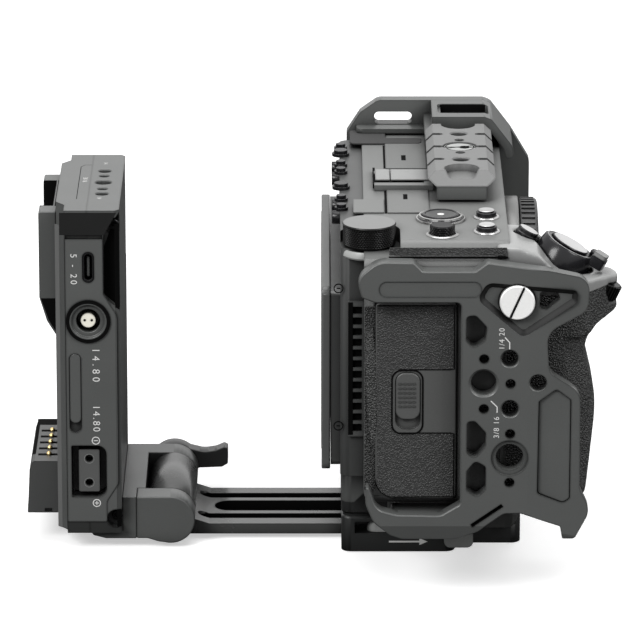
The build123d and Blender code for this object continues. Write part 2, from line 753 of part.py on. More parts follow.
# ---------------------------------------------------------------- ports
port_face = -plate_half
usb_outer = prism_y(rectangle(usb_x - usb_width / 2 + 0.02, usb_x + usb_width / 2 - 0.02,
                              usb_z - usb_height / 2 + 0.02,
                              usb_z + usb_height / 2 - 0.02, (usb_width / 2 - 0.02) * 0.999),
                              port_face + 0.3, port_face + 8.0)
usb_inner = prism_y(rectangle(usb_x - usb_width / 2 + 0.7, usb_x + usb_width / 2 - 0.7,
                              usb_z - usb_height / 2 + 0.9,
                              usb_z + usb_height / 2 - 0.9, (usb_width / 2 - 0.7) * 0.999), port_face - 1,
                              port_face + 6.8)
parts["usb_shell"] = usb_outer - usb_inner
parts["usb_tongue"] = box(usb_x - 0.45, usb_x + 0.45, port_face + 1.4, port_face + 6.8, usb_z - 3.3,
                          usb_z + 3.3)

ring = rod_y(round_port_x, round_port_z, round_port_r - 0.02, port_face - 0.5, port_face + 8.0)
ring -= rod_y(round_port_x, round_port_z, 5.5, port_face - 1, port_face + 0.6)
ring -= rod_y(round_port_x, round_port_z, 3.9, port_face - 2, port_face + 7.0)
parts["round_port_ring"] = ring
insulator = rod_y(round_port_x, round_port_z, 2.4, port_face + 1.0, port_face + 7.0)
for side in (-1, 1):
    insulator -= rod_y(round_port_x + side * 1.15, round_port_z, 0.42, port_face, port_face + 4.0)
parts["round_port_insulator"] = insulator

insert = prism_y(rectangle(outlet_x - insert_width / 2, outlet_x + insert_width / 2,
                           outlet_z - insert_height / 2,
                           outlet_z + insert_height / 2, 0.5), port_face + 1.0, port_face + 8.9)
base_flange = prism_y([(outlet_x - outlet_width / 2 + 0.05, outlet_z - outlet_height / 2 + 0.05, 0.5),
                       (outlet_x + outlet_width / 2 - 0.05, outlet_z - outlet_height / 2 + 0.05, 3.0),
                       (outlet_x + outlet_width / 2 - 0.05, outlet_z + outlet_height / 2 - 0.05, 3.0),
                       (outlet_x - outlet_width / 2 + 0.05, outlet_z + outlet_height / 2 - 0.05, 0.5)],
                      port_face + 7.4, port_face + 8.9)
insert += base_flange
for side in (-1, 1):
    insert -= rod_y(outlet_x, outlet_z + side * outlet_pin_pitch / 2, 1.25, port_face, port_face + 7.0)
parts["outlet_insert"] = insert

# ---------------------------------------------------------------- quick-release plate and cage base
def make_quick_release_plate():
    top_half = dovetail_half_top - slide_gap
    bottom_half = dovetail_half_bottom - slide_gap
    foot = prism_x([(-bottom_half, dovetail_z0 + slide_gap, 0), (bottom_half, dovetail_z0 + slide_gap, 0),
                    (top_half, base_height + seat_gap, 0), (-top_half, base_height + seat_gap, 0)], base_x0,
                    base_x1)
    body = box(base_x0, base_x1, -29.5, 29.5, base_height + seat_gap, quick_plate_top)
    body = fillet(body.edges().filter_by(Axis.Z), base_corner_r)
    plate = body + foot
    for x in (-14.0, 14.0):
        plate -= rod_z(x, 0, 3.2, dovetail_z0 - 1, quick_plate_top + 1)
        plate -= rod_z(x, 0, 5.4, dovetail_z0 - 1, dovetail_z0 + 6.0)
    return plate


parts["quick_release_plate"] = make_quick_release_plate()
parts["quick_plate_screws"] = [
    Pos(x, 0, dovetail_z0 + 6.0) * Rot(180, 0, 0) * slotted_head(5.2, 3.0, 1.2, 1.2)
    + rod_z(x, 0, 3.1, dovetail_z0 + 6.0, cage_base_top - 2.0) for x in (-14.0, 14.0)]

grip_plate_in_y = grip_plate_out_y + grip_plate_thickness
ledge_in_y = grip_plate_in_y + ledge_depth
camera_screw_spot = (2.0, 18.0)
window_near_y = -60.0


def make_cage_base():
    plan = [(-14.0, ledge_in_y, 3.0), (25.0, ledge_in_y, 3.0), (base_x1, -52.0, 6.0), (base_x1, 54.0, 4.0),
            (24.0, far_plate_in_y, 2.0), (-20.0, far_plate_in_y, 2.0), (base_x0, 54.0, 4.0),
            (base_x0, -46.5, 3.2),
            (-15.5, -46.5, 2.0)]
    plate = prism_z(plan, cage_base_bottom, cage_base_top)
    plate -= prism_y([(-26.4, cage_base_bottom - 1.0, 0), (-25.4, cage_base_bottom, 0),
                      (-20.4, cage_base_bottom + 5.0, 0),
                      (-13.0, cage_base_bottom + 5.0, 0), (-13.0, cage_base_bottom - 1.0, 0)], -60.0, -33.0)
    for y0, y1 in ((window_near_y, -38.0), (34.0, 54.0)):
        plate -= prism_z(rectangle(-10.0, 14.0, y0, y1, 3.0), cage_base_bottom - 1, cage_base_top + 1)
    for x in (-14.0, 14.0):
        plate -= rod_z(x, 0, 3.1, cage_base_bottom - 1, cage_base_top - 2.0)
    x, y = camera_screw_spot
    plate -= rod_z(x, y, 3.3, cage_base_bottom - 1, cage_base_top + 1)
    plate -= rod_z(x, y, 6.2, cage_base_bottom - 1, cage_base_bottom + 4.2)
    return plate


cage_base = make_cage_base()
pad = prism_z(rectangle(base_x0 + 3.0, base_x1 - 8.0, -34.0, 30.0, 4.0), cage_base_top,
              cage_base_top + pad_thickness)
pad -= rod_z(*camera_screw_spot, 6.0, cage_base_top - 1, cage_base_top + 2)
top_pad = prism_z([(-26.5, 47.0, 2.0), (-2.5, 47.0, 2.0), (-2.5, 54.0, 1.0), (-14.5, 54.0, 1.0),
                   (-14.5, 64.0, 1.0), (-26.5, 64.0, 1.0)],
                  deck_z, deck_z + top_pad_thickness)
parts["camera_pad"] = [pad, top_pad]

parts["camera_screw"] = (
    Pos(*camera_screw_spot, cage_base_bottom + 4.2) * Rot(180, 0, 0) * slotted_head(6.0, 3.6, 1.4, 1.4)
    + rod_z(*camera_screw_spot, 3.15, cage_base_bottom + 4.2, camera_bottom_z + 5.0))

# ---------------------------------------------------------------- grip-side plate
grip_plate_low_z = 21.6
grip_plate_outline = [
    (-21.9, 39.1, 0.6), (-22.1, 33.5, 6.0), (-19.6, 27.6, 5.0), (-14.2, 23.1, 3.0),
    (-10.5, grip_plate_low_z + 0.1, 4.0), (6.3, grip_plate_low_z, 6.0),
    (13.4, 24.2, 6.0), (22.0, 30.4, 3.0), (27.5, 30.5, 2.0), (40.0, 26.1, 0.8), (40.7, 21.8, 0.6),
    (44.6, 21.8, 1.5),
    (49.6, 31.2, 6.0), (46.1, 38.6, 5.0), (46.0, 70.6, 6.0), (36.0, 77.4, 4.0), (35.2, 90.6, 6.0),
    (48.2, 97.6, 5.0),
    (48.6, 108.0, 5.0), (36.0, 110.8, 30.0), (16.3, 113.6, 1.5), (12.4, 110.7, 1.5), (-4.1, 110.7, 1.5),
    (-6.9, 113.6, 1.5),
    (-18.5, 113.8, 8.0), (-25.0, 108.0, 7.0), (-23.3, 102.0, 1.5), (-19.0, 100.4, 3.0),
    (window_right_x, 100.4, 1.5),
    (window_right_x, 33.6, 1.5), (1.8, 29.8, 4.0), (-12.4, 30.1, 6.0), (-18.6, 31.9, 5.0), (-21.0, 39.1, 0.5)]

quarter_spots = [(23.5, 82.1), (32.6, 74.1), (23.7, 65.5)]
locating_spots = [(15.4, 82.0), (23.8, 73.8), (15.4, 65.5), (23.8, 57.2), (23.7, 41.0)]
three_eighths_spot = (15.3, 74.0)
counterbore_spot = (23.7, 49.2)
hex_windows = [
    [(9.6, 96.0, 1.4), (12.6, 96.6, 2.0), (16.4, 92.4, 1.6), (15.7, 88.0, 1.2), (12.0, 85.4, 1.5),
     (9.6, 88.0, 1.2)],
    [(10.0, 61.3, 1.2), (12.6, 61.6, 1.5), (16.2, 57.6, 1.4), (16.0, 53.0, 1.4), (12.6, 48.8, 1.6),
     (10.0, 50.8, 1.2)],
    [(10.0, 44.8, 1.4), (12.8, 48.4, 1.6), (16.2, 46.4, 1.4), (16.2, 38.6, 1.4), (13.4, 36.0, 1.5),
     (10.0, 38.2, 1.2)]]
inset_outline = [(38.4, 71.9, 1.2), (32.8, 67.9, 0.9), (32.5, 37.2, 1.4), (40.8, 33.9, 1.6),
                 (43.0, 35.4, 1.0), (43.1, 68.2, 0.9)]
triangle_recess = [(16.2, 107.2, 3.5), (45.0, 104.6, 1.6), (44.6, 100.6, 2.2), (27.6, 88.8, 3.0),
                   (12.9, 101.6, 3.0)]
small_triangle = [(32.8, 103.8, 1.0), (38.5, 103.8, 1.0), (39.3, 101.4, 0.8), (34.9, 97.7, 1.0),
                  (32.8, 98.4, 0.8)]
silver_screw_spot = (25.7, 100.7)


def grown(points, amount):
    """Outline pushed away from its own middle, for a seat around an inlay."""
    mid_a = sum(p[0] for p in points) / len(points)
    mid_b = sum(p[1] for p in points) / len(points)
    result = []
    for a, b, r in points:
        reach = hypot(a - mid_a, b - mid_b)
        scale = (reach + amount) / reach
        result.append((mid_a + (a - mid_a) * scale, mid_b + (b - mid_b) * scale, r))
    return result


def make_grip_plate():
    y0 = grip_plate_out_y
    y1 = grip_plate_in_y
    plate = prism_y(grip_plate_outline, y0, y1)
    plate = chamfer(plate.faces().sort_by(Axis.Y)[0].outer_wire().edges(), plate_edge)
    ledge = prism_y([(-14.0, cage_base_bottom + 0.6, 1.5), (10.0, cage_base_bottom + 0.6, 1.5),
                     (23.0, cage_base_top - 0.6, 0.4),
                     (-14.0, cage_base_top - 0.6, 1.0)], y1 - 0.5, ledge_in_y)
    plate += ledge
    skirt_z = grip_plate_low_z - 0.6
    plate -= prism_x([(y0 - 1, skirt_z, 0), (y0 + skirt_depth, skirt_z, 0),
                      (y0, grip_plate_low_z + skirt_width, 0),
                      (y0 - 1, grip_plate_low_z + skirt_width, 0)], -30, 60)
    wing_end_x = 60.0
    plate -= prism_z([(wing_start_x, y0, 0), (wing_end_x, y0 + (wing_end_x - wing_start_x) * wing_fall, 0),
                      (wing_end_x, y0 - 1, 0), (wing_start_x, y0 - 1, 0)], 0, 130)
    recess_face = outline(triangle_recess, lambda a, b: Vector(a, y0, b))
    plate -= extrude(recess_face, recess_depth, dir=(0, 1, 0), taper=recess_taper)
    plate -= prism_y(small_triangle, y0 - 1, y1 + 1)
    plate -= prism_y(rectangle(-17.9, 14.5, 102.3, 107.4, 2.4), y0 - 1, y0 + 0.35)
    for points in hex_windows:
        plate -= prism_y(points, y0 - 1, y1 + 1)
    for x, z in quarter_spots:
        plate -= rod_y(x, z, quarter_thread_r, y0 - 1, y1 + 1)
        plate -= mouth_y(x, z, quarter_thread_r, quarter_mouth, y0, 1)
    for x, z in locating_spots:
        plate -= rod_y(x, z, locating_hole_r, y0 - 1, y1 + 1)
    x, z = three_eighths_spot
    plate -= rod_y(x, z, three_eighths_thread_r, y0 - 1, y1 + 1)
    plate -= mouth_y(x, z, three_eighths_thread_r, three_eighths_mouth, y0, 1)
    x, z = counterbore_spot
    plate -= rod_y(x, z, 4.4, y0 - 1, y1 + 1)
    plate -= rod_y(x, z, 5.9, y0 - 1, y0 + 1.0)
    slot = Pos(16.6, (y0 + y1) / 2, 29.9) * Rot(0, -35, 0) * Box(12.0, 8.0, 1.2)
    plate -= slot
    plate -= prism_y(grown(inset_outline, 0.08), y0 - 1, y0 + inset_seat_depth)
    x, z = silver_screw_spot
    plate -= rod_y(x, z, silver_screw_r + 0.4, y0 - 1, y0 + 3.4)
    plate -= rod_y(x, z, 3.0, y0, y1 + 1)
    return plate


parts["cage_grip_plate"] = make_grip_plate()
inset_seat_y = grip_plate_out_y + inset_seat_depth
parts["grip_plate_inset"] = prism_y(inset_outline, inset_seat_y - inset_thickness, inset_seat_y)
silver_x, silver_z = silver_screw_spot
silver_seat_y = grip_plate_out_y + 3.4
parts["silver_screw"] = (
    Pos(silver_x, silver_seat_y, silver_z) * Rot(90, 0, 0) * Rot(0, 0, 66)
    * slotted_head(silver_screw_r, 4.2, 0.7, 0.8)
    + rod_y(silver_x, silver_z, 2.9, silver_seat_y, grip_plate_in_y))

# ---------------------------------------------------------------- far-side plate and top bridge
far_plate_out_y = far_plate_in_y + far_plate_thickness
far_outline = [
    (-20.0, cage_base_bottom, 3.0), (24.0, cage_base_bottom, 3.0), (30.0, 34.0, 5.0), (34.4, 60.0, 8.0),
    (34.4, 106.6, 3.0),
    (28.0, 117.4, 3.0), (21.0, 126.6, 3.0), (18.6, far_plate_top_z, 2.0), (-17.0, far_plate_top_z, 4.0),
    (-22.9, 123.3, 3.0),
    (-27.5, 116.2, 3.0), (-27.5, 111.6, 2.0), (-25.4, 108.6, 2.0), (-25.4, 34.0, 5.0)]
strap_slot = rectangle(-18.2, -5.4, 119.2, 123.4, 1.6)
port_window = [(-16.0, 44.0, 4.0), (10.0, 44.0, 4.0), (16.0, 52.0, 4.0), (16.0, 96.0, 4.0),
               (10.0, 104.0, 4.0), (-16.0, 104.0, 4.0)]
far_quarter_spots = [(26.5, 74.0), (26.5, 58.0), (26.5, 90.0)]
far_locating_spots = [(26.5, 66.0), (26.5, 82.0)]
far_joint_spots = [(-12.0, 26.0), (16.0, 26.0), (4.5, 120.2), (14.5, 120.2)]
near_joint_spots = [(-4.5, 26.0), (8.5, 26.0)]


def make_far_plate():
    y0 = far_plate_in_y
    y1 = far_plate_out_y
    plate = prism_y(far_outline, y0, y1)
    plate = chamfer(plate.faces().sort_by(Axis.Y)[-1].outer_wire().edges(), plate_edge)
    plate -= prism_y(strap_slot, y0 - 1, y1 + 1)
    plate -= prism_y(port_window, y0 - 1, y1 + 1)
    plate -= prism_y(rectangle(-14.0, 22.0, 108.0, 113.5, 2.0), y0 - 1, y1 + 1)
    for x, z in far_quarter_spots:
        plate -= rod_y(x, z, quarter_thread_r, y0 - 1, y1 + 1)
        plate -= mouth_y(x, z, quarter_thread_r, quarter_mouth, y1, -1)
    for x, z in far_locating_spots:
        plate -= rod_y(x, z, locating_hole_r, y0 - 1, y1 + 1)
    for x, z in far_joint_spots:
        plate -= rod_y(x, z, 1.55, y0 - 1, y1 + 1)
        plate -= rod_y(x, z, 2.9, y1 - 2.0, y1 + 1)
    return plate


parts["cage_far_plate"] = make_far_plate()

joint_screws = []
for x, z in far_joint_spots:
    cage_base -= rod_y(x, z, 1.55, far_plate_in_y - 8.0, far_plate_in_y + 1)
    joint_screws.append(Pos(x, far_plate_out_y - 2.0, z) * Rot(-90, 0, 0) * socket_head(2.7, 1.8, 1.4, 1.1)
                        + rod_y(x, z, 1.5, far_plate_in_y - 7.9, far_plate_out_y - 2.0))
for x, z in near_joint_spots:
    cage_base -= rod_y(x, z, 1.55, ledge_in_y - 1, window_near_y + 1)
    parts["cage_grip_plate"] -= rod_y(x, z, 1.55, ledge_in_y - 6.0, ledge_in_y + 1)
    joint_screws.append(Pos(x, window_near_y, z) * Rot(-90, 0, 0) * socket_head(2.7, 1.8, 1.4, 1.1)
                        + rod_y(x, z, 1.5, ledge_in_y - 5.9, window_near_y))
parts["cage_base_plate"] = cage_base
parts["cage_joint_screws"] = joint_screws


rail_mid_x = (bridge_left_x + bridge_right_x) / 2
rail_screw_y = 9.0


def make_top_bridge():
    """Arm over the camera from the far plate, with the shell of the top loop at its far end."""
    top = far_plate_top_z
    t = loop_thickness
    loop = prism_y([(1.0, top, 0), (18.6, top, 2.0), (21.0, 126.6, 2.0), (28.0, 117.4, 2.0),
                    (28.6, 113.4, 1.0), (25.8, 112.8, 1.0),
                    (25.0, 116.4, 1.0), (19.4, 123.8, 1.5), (17.6, top - t, 1.0), (1.0, top - t, 0)],
                    loop_inner_y, far_plate_in_y)
    loop -= prism_z(rectangle(3.0, 20.0, 48.6, 60.8, 1.5), top - t - 1, top + 1)
    head = prism_y([(bridge_left_x, bridge_top_z, 0), (bridge_left_x, 120.0, 1.0), (1.6, bridge_bottom_z, 0),
                    (17.4, bridge_bottom_z, 0), (bridge_right_x, 120.0, 1.0),
                    (bridge_right_x, bridge_top_z, 0)],
                   rail_far_y, far_plate_in_y)
    head += box(1.0, 4.0, loop_inner_y, far_plate_in_y, bridge_top_z - 0.5, top - 1.0)
    head += box(1.0, 18.0, loop_inner_y, loop_inner_y + 3.0, bridge_top_z - 0.5, top - 1.0)
    arm = box(rail_mid_x - rail_base_half, rail_mid_x + rail_base_half, bridge_near_y, rail_far_y + 1,
              bridge_bottom_z, rail_bottom_z)
    ledge_bottom_z = deck_z + top_pad_thickness
    ledge = prism_z([(ledge_left_x, ledge_near_y, 2.0), (bridge_left_x + 5.0, ledge_near_y, 0),
                     (bridge_left_x + 5.0, far_plate_in_y, 0), (ledge_left_x, far_plate_in_y, 0)],
                     ledge_bottom_z, ledge_bottom_z + 1.55)
    bridge = head + arm + loop + ledge
    bridge -= box(bridge_left_x - 1, bridge_right_x + 1, bridge_near_y + 4.0, 50.0, 116.0,
                  bridge_top_z - 3.8)
    bridge -= rod_z(rail_mid_x, rail_screw_y, 2.05, 116.0, bridge_top_z + 1)
    for x, z in far_joint_spots:
        bridge -= rod_y(x, z, 1.55, far_plate_in_y - 8.0, far_plate_in_y + 1)
    return bridge


parts["cage_top_bridge"] = make_top_bridge()

rail_quarter_spots = [25.2, -7.5]
rail_locating_spots = [16.8, 0.9]


def make_top_rail():
    """Bevelled accessory rail with a round seat at each end and notches along both sides."""
    z0 = rail_bottom_z
    z1 = rail_top_z
    section = [(rail_mid_x - rail_base_half, z0, 0), (rail_mid_x + rail_base_half, z0, 0),
               (rail_mid_x + rail_half, rail_ridge_z, 0),
               (rail_mid_x + rail_top_half, z1, 0), (rail_mid_x - rail_top_half, z1, 0),
               (rail_mid_x - rail_half, rail_ridge_z, 0)]
    rail = prism_y(section, bridge_near_y, rail_far_y)
    slope = prism_x([(bridge_near_y - 1, z0 + 0.3, 0), (bridge_near_y, z0 + 0.3, 0), (rail_near_y, z1, 0),
                     (rail_near_y, z1 + 1, 0),
                     (bridge_near_y - 1, z1 + 1, 0)], -8.0, 30.0)
    rail -= slope
    for y in rail_quarter_spots:
        rail -= rod_z(rail_mid_x, y, quarter_thread_r, z0 - 1, z1 + 1)
        rail -= mouth_z(rail_mid_x, y, quarter_thread_r, quarter_mouth, z1)
    for y in rail_locating_spots:
        rail -= rod_z(rail_mid_x, y, locating_hole_r, z0 - 1, z1 + 1)
    rail -= rod_z(rail_mid_x, rail_screw_y, 5.6, z1 - 2.6, z1 + 1)
    rail -= rod_z(rail_mid_x, rail_screw_y, 2.1, z0 - 1, z1 + 1)
    for y in (rail_near_y + 2.3, rail_far_y - 1.0):
        rail -= rod_z(rail_mid_x, y, rail_seat_r, rail_seat_z, z1 + 1)
    for side in (-1, 1):
        for y in (24.6, 8.6, -7.4):
            notch_x = rail_mid_x + side * rail_half
            rail -= prism_z(rectangle(notch_x - side * 5.6, notch_x + side * 2, y - 1.2, y + 1.2, 0.9),
                            z1 - 2.4, z1 + 1)
    return rail


parts["top_rail"] = make_top_rail()
parts["top_rail_screw"] = (
    Pos(rail_mid_x, rail_screw_y, rail_top_z - 2.6) * slotted_head(5.4, 2.3, 1.2, 1.0)
    + rod_z(rail_mid_x, rail_screw_y, 2.0, bridge_top_z - 3.8, rail_top_z - 2.6))

# ---------------------------------------------------------------- camera body
button_stem_r = 1.5
button_stem_depth = 4.0
record_spot = (2.2, -46.0)
control_spot = (2.4, -64.0)
top_button_spots = [(16.9, -43.5), (16.6, -60.8)]
dial_seat_z = 112.0
dial_pocket_r = dial_r + 1.2
shoe_centre_y = -2.6
shoe_half = 9.1
shoe_x0 = -18.8
shoe_x1 = 0.5

body_profile = [(camera_mid_x, camera_bottom_z, 3.0), (camera_front_x, camera_bottom_z, 3.0),
                (camera_front_x, cover_z, 0), (camera_mid_x, cover_z, 0)]
camera_body = prism_y(body_profile, camera_near_y, camera_far_y)
for end in (0, -1):
    uprights = camera_body.faces().sort_by(Axis.Y)[end].edges().filter_by(Axis.Z)
    camera_body = fillet(uprights, 3.0)
camera_body -= prism_y(door_outline(door_gap), camera_near_y - 1, camera_near_y + 2.2)
camera_body -= rod_z(*camera_screw_spot, 3.2, camera_bottom_z - 1, camera_bottom_z + 5.5)
camera_body -= rod_x(0, lens_axis_z, mount_bore_r, camera_front_x - 18.0, camera_front_x + 1)
camera_body = camera_body.solids().sort_by(SortBy.VOLUME)[-1]
parts["camera_body"] = camera_body

cover_section = [(camera_near_y + 0.6, cover_z, 0), (camera_far_y, cover_z, 0), (camera_far_y, deck_z, 3.0),
                 (deck_near_y, deck_z, 3.0), (camera_near_y + 0.6, deck_z - 6.4, 4.0)]
top_cover = prism_x(cover_section, camera_mid_x, camera_front_x)
top_cover -= rod_z(dial_x, dial_y, dial_pocket_r, dial_seat_z, deck_z + 1)
top_cover -= box(camera_mid_x - 1, dial_x + dial_pocket_r, camera_near_y - 1, dial_y, dial_seat_z, deck_z + 1)
top_cover -= rod_z(dial_x, dial_y, 2.0 + running_gap, dial_seat_z - 5.0, deck_z)
for x, y in [record_spot, *top_button_spots]:
    top_cover -= rod_z(x, y, button_stem_r + running_gap, deck_z - button_stem_depth - button_travel - 0.2,
                       deck_z + 1)
top_cover -= rod_z(*control_spot, button_stem_r + running_gap, deck_z - button_stem_depth - 0.2, deck_z + 1)
parts["camera_top_cover"] = top_cover


def make_rear_housing():
    """Rear half of the camera with the frame that the screen folds into."""
    plan = [(camera_rear_x, housing_near_y, 3.0), (camera_mid_x, housing_near_y, 0),
            (camera_mid_x, housing_far_y, 0),
            (camera_rear_x, housing_far_y, 3.0)]
    housing = prism_z(plan, screen_bottom_z, deck_z - 1.2)
    frame_edge = rectangle(screen_near_y + 0.6, screen_far_y - 0.6, screen_bottom_z + 1.4,
                           screen_top_z - 0.6, 2.0)
    housing += prism_x(frame_edge, screen_front_x + seat_gap, camera_rear_x + 0.5)
    housing -= rod_z(dial_x, dial_y, dial_pocket_r, dial_seat_z, deck_z + 1)
    housing -= box(camera_rear_x - 1, camera_mid_x + 1, housing_near_y - 1, dial_y, dial_seat_z, deck_z + 1)
    housing -= rod_z(dial_x, dial_y, 2.0 + running_gap, dial_seat_z - 5.0, deck_z)
    for y in rear_stud_spots:
        housing -= rod_x(y, rear_stud_z, rear_stud_r + running_gap, camera_rear_x - 1, camera_rear_x + 2.0)
    return housing


parts["camera_rear_housing"] = make_rear_housing()
parts["camera_rear_studs"] = [
    rod_x(y, rear_stud_z, rear_stud_r, camera_rear_x - 2.6, camera_rear_x + 1.9) for y in rear_stud_spots]


def make_camera_grip():
    """Hand grip: a bulged column on the lens side of the near end, with a sloping head."""
    near = camera_near_y + 1.0
    column = prism_z([(camera_front_x, near, 0), (40.0, near, 8.0), (51.6, -68.0, 9.0), (51.6, -50.0, 9.0),
                      (42.0, -40.0, 8.0), (camera_front_x, -36.0, 0)], camera_bottom_z, 108.0)
    head = prism_z([(camera_front_x, near, 0), (46.0, near, 8.0), (58.6, -60.0, 5.0), (58.6, -54.0, 6.0),
                    (44.0, -48.0, 8.0),
                    (camera_front_x, -48.0, 0)], 86.0, 116.0)
    side_view = prism_y([(camera_front_x, camera_bottom_z, 0), (48.4, camera_bottom_z, 3.0),
                         (52.0, 62.8, 40.0), (47.4, 82.0, 8.0),
                         (50.6, 88.0, 5.0), (58.4, 91.0, 4.0), (60.6, 96.0, 3.0), (58.9, 102.6, 3.0),
                         (42.0, 105.4, 8.0),
                         (38.0, 108.0, 2.0), (33.0, 113.5, 2.0), (26.0, 116.0, 2.0),
                         (camera_front_x, 116.0, 0)],
                        camera_near_y - 1, -30.0)
    return (column + head) & side_view


# t runs along the shutter's axis from the top of the shutter disc
shutter_axis = Pos(shutter_x, shutter_y, shutter_z) * Rot(0, shutter_tilt, 0)
function_axis = Pos(29.2, -56.0, 114.2) * Rot(0, 28, 0)
front_dial_place = Pos(front_dial_x, front_dial_y, front_dial_z) * Rot(0, front_dial_tilt, 0)


def along(t0, t1, r):
    return Pos(0, 0, (t0 + t1) / 2) * Cylinder(r, t1 - t0)


grip = make_camera_grip()
grip += shutter_axis * along(-15.0, -collar_height - 0.9, collar_r - 0.6)
grip -= shutter_axis * along(-collar_height - 0.9, 14.0, collar_r + 0.5)
grip -= shutter_axis * along(-3.0, 14.0, 14.2)
grip -= shutter_axis * along(-14.0, 0, button_stem_r + running_gap)
grip -= front_dial_place * along(-front_dial_half - 0.2, front_dial_half + 0.2, front_dial_r + 0.4)
grip -= front_dial_place * along(-front_dial_half - 1.6, front_dial_half + 1.6, 1.2 + running_gap)
grip -= function_axis * along(-2.4, 6.0, 3.8)
grip -= function_axis * along(-6.0, 0, 1.2 + running_gap)
grip = grip.solids().sort_by(SortBy.VOLUME)[-1]
parts["camera_grip"] = grip

vent_left_x = -27.6
grille = prism_y(rectangle(vent_left_x, camera_mid_x, vent_bottom_z, vent_top_z, 0.4), housing_near_y - 1.2,
                 housing_near_y)
for i in range(vent_slot_count):
    slot_z = vent_bottom_z + 1.8 + i * vent_slot_pitch
    grille -= box(vent_left_x + 1.0, camera_mid_x - 0.6, housing_near_y - 2.0, housing_near_y + 1.0, slot_z,
                  slot_z + vent_slot_height)
parts["camera_vent_grille"] = grille


def make_screen():
    """Flat screen housing, whose far edge is rounded about its hinge axis."""
    round_edge = (screen_front_x - screen_rear_x) / 2 * 0.999
    slab = prism_z([(screen_rear_x, screen_near_y, 0.8), (screen_front_x, screen_near_y, 0.5),
                    (screen_front_x, screen_far_y, round_edge), (screen_rear_x, screen_far_y, round_edge)],
                   screen_bottom_z, screen_top_z)
    return slab & prism_x(rectangle(screen_near_y, screen_far_y, screen_bottom_z, screen_top_z, 2.5),
                          screen_rear_x - 1, screen_front_x + 1)


parts["camera_screen"] = make_screen()

door = prism_y(door_outline(0.0), camera_near_y - door_stand, camera_near_y + 2.0)
door = fillet(door.faces().sort_by(Axis.Y)[0].outer_wire().edges(), door_edge_r)
latch_slot = rectangle(latch_slot_left_x, latch_slot_right_x, latch_slot_bottom_z, latch_slot_top_z, 3.2)
door -= prism_y(latch_slot, camera_near_y - 3, camera_near_y + 0.2)
parts["camera_card_door"] = door
door_latch_top_z = latch_slot_top_z - slide_gap
parts["camera_door_latch"] = prism_y(
    rectangle(latch_slot_left_x + slide_gap, latch_slot_right_x - slide_gap,
              door_latch_top_z - door_latch_length, door_latch_top_z, 3.0),
    camera_near_y - door_stand - 0.3, camera_near_y + 0.15)

dial_shape = knurled_disc(dial_r, deck_z + 2.7 - dial_seat_z - seat_gap, 44, 0.5, 0.4)
parts["camera_rear_dial"] = Pos(dial_x, dial_y, dial_seat_z + seat_gap) * (dial_shape + along(-4.8, 0.5, 2.0))
parts["camera_record_ring"] = rod_z(*record_spot, 8.0, deck_z, deck_z + 1.7) - rod_z(*record_spot, 6.2,
                                                                                     deck_z - 1, deck_z + 3)
parts["camera_record_button"] = (
    rod_z(*record_spot, 6.0, deck_z + button_travel + 0.05, deck_z + 2.0)
    + rod_z(*record_spot, button_stem_r, deck_z - button_stem_depth, deck_z + 1.5))
parts["camera_control_dial"] = (
    Pos(*control_spot, deck_z + 0.05) * knurled_disc(4.0, 3.2, 20, 0.5, 0.6)
    + rod_z(*control_spot, button_stem_r, deck_z - button_stem_depth, deck_z + 1.5))
for number, (button_x, button_y) in enumerate(top_button_spots, start=1):
    parts[f"camera_top_button_{number}"] = (
        rod_z(button_x, button_y, 4.2, deck_z + button_travel + 0.05, deck_z + 2.6)
        + rod_z(button_x, button_y, button_stem_r, deck_z - button_stem_depth, deck_z + 1.5))
parts["camera_function_button"] = function_axis * (along(-1.4, 1.6, 3.6) + along(-5.0, -1.0, 1.2))
collar = Pos(0, 0, -0.8 - collar_height / 2) * Cone(collar_r, collar_top_r, collar_height)
zoom_tab = Rot(0, 0, zoom_tab_angle) * Pos(collar_top_r + 2.1, 0, -0.2) * Box(5.6, 6.4, 4.6)
zoom_tab = chamfer(zoom_tab.edges(), 0.5)
zoom_nub = Rot(0, 0, 8) * Pos(collar_top_r - 0.4, 0, 0.2) * Box(1.6, 3.2, 2.8)
parts["camera_zoom_collar"] = shutter_axis * (collar + zoom_tab + zoom_nub
                                              - along(-20, 5, shutter_r + running_gap))
parts["camera_shutter_button"] = shutter_axis * (along(-6.5, 0, shutter_r)
                                                 + along(-12.5, -6.0, button_stem_r))
parts["camera_front_dial"] = front_dial_place * (
    Pos(0, 0, -front_dial_half) * knurled_disc(front_dial_r, front_dial_half * 2, 32, 0.6, 0.4)
    + along(-front_dial_half - 1.5, front_dial_half + 1.5, 1.2))


def make_accessory_shoe():
    """Channel with inward lips, open towards the rear."""
    y0 = shoe_centre_y - shoe_half
    y1 = shoe_centre_y + shoe_half
    shoe = box(shoe_x0, shoe_x1, y0, y1, deck_z, deck_z + 2.0)
    shoe -= box(shoe_x0 - 1, shoe_x1 - 1.2, y0 + 0.8, y1 - 0.8, deck_z + 0.4, deck_z + 1.3)
    return shoe - box(shoe_x0 - 1, shoe_x1 - 3.0, y0 + 3.4, y1 - 3.4, deck_z + 0.4, deck_z + 3)


parts["camera_accessory_shoe"] = make_accessory_shoe()
parts["camera_lens_mount"] = (
    rod_x(0, lens_axis_z, mount_r, camera_front_x, mount_front_x)
    - rod_x(0, lens_axis_z, mount_bore_r, camera_front_x - 1, mount_front_x + 1))
cap = rod_x(0, lens_axis_z, cap_r, mount_front_x + seat_gap, cap_front_x)
cap += rod_x(0, lens_axis_z, mount_bore_r - 0.08, mount_front_x - 3.5, mount_front_x + 1)
cap -= rod_x(0, lens_axis_z, mount_bore_r - 2.3, mount_front_x - 5, mount_front_x + 2.6)
parts["camera_body_cap"] = cap


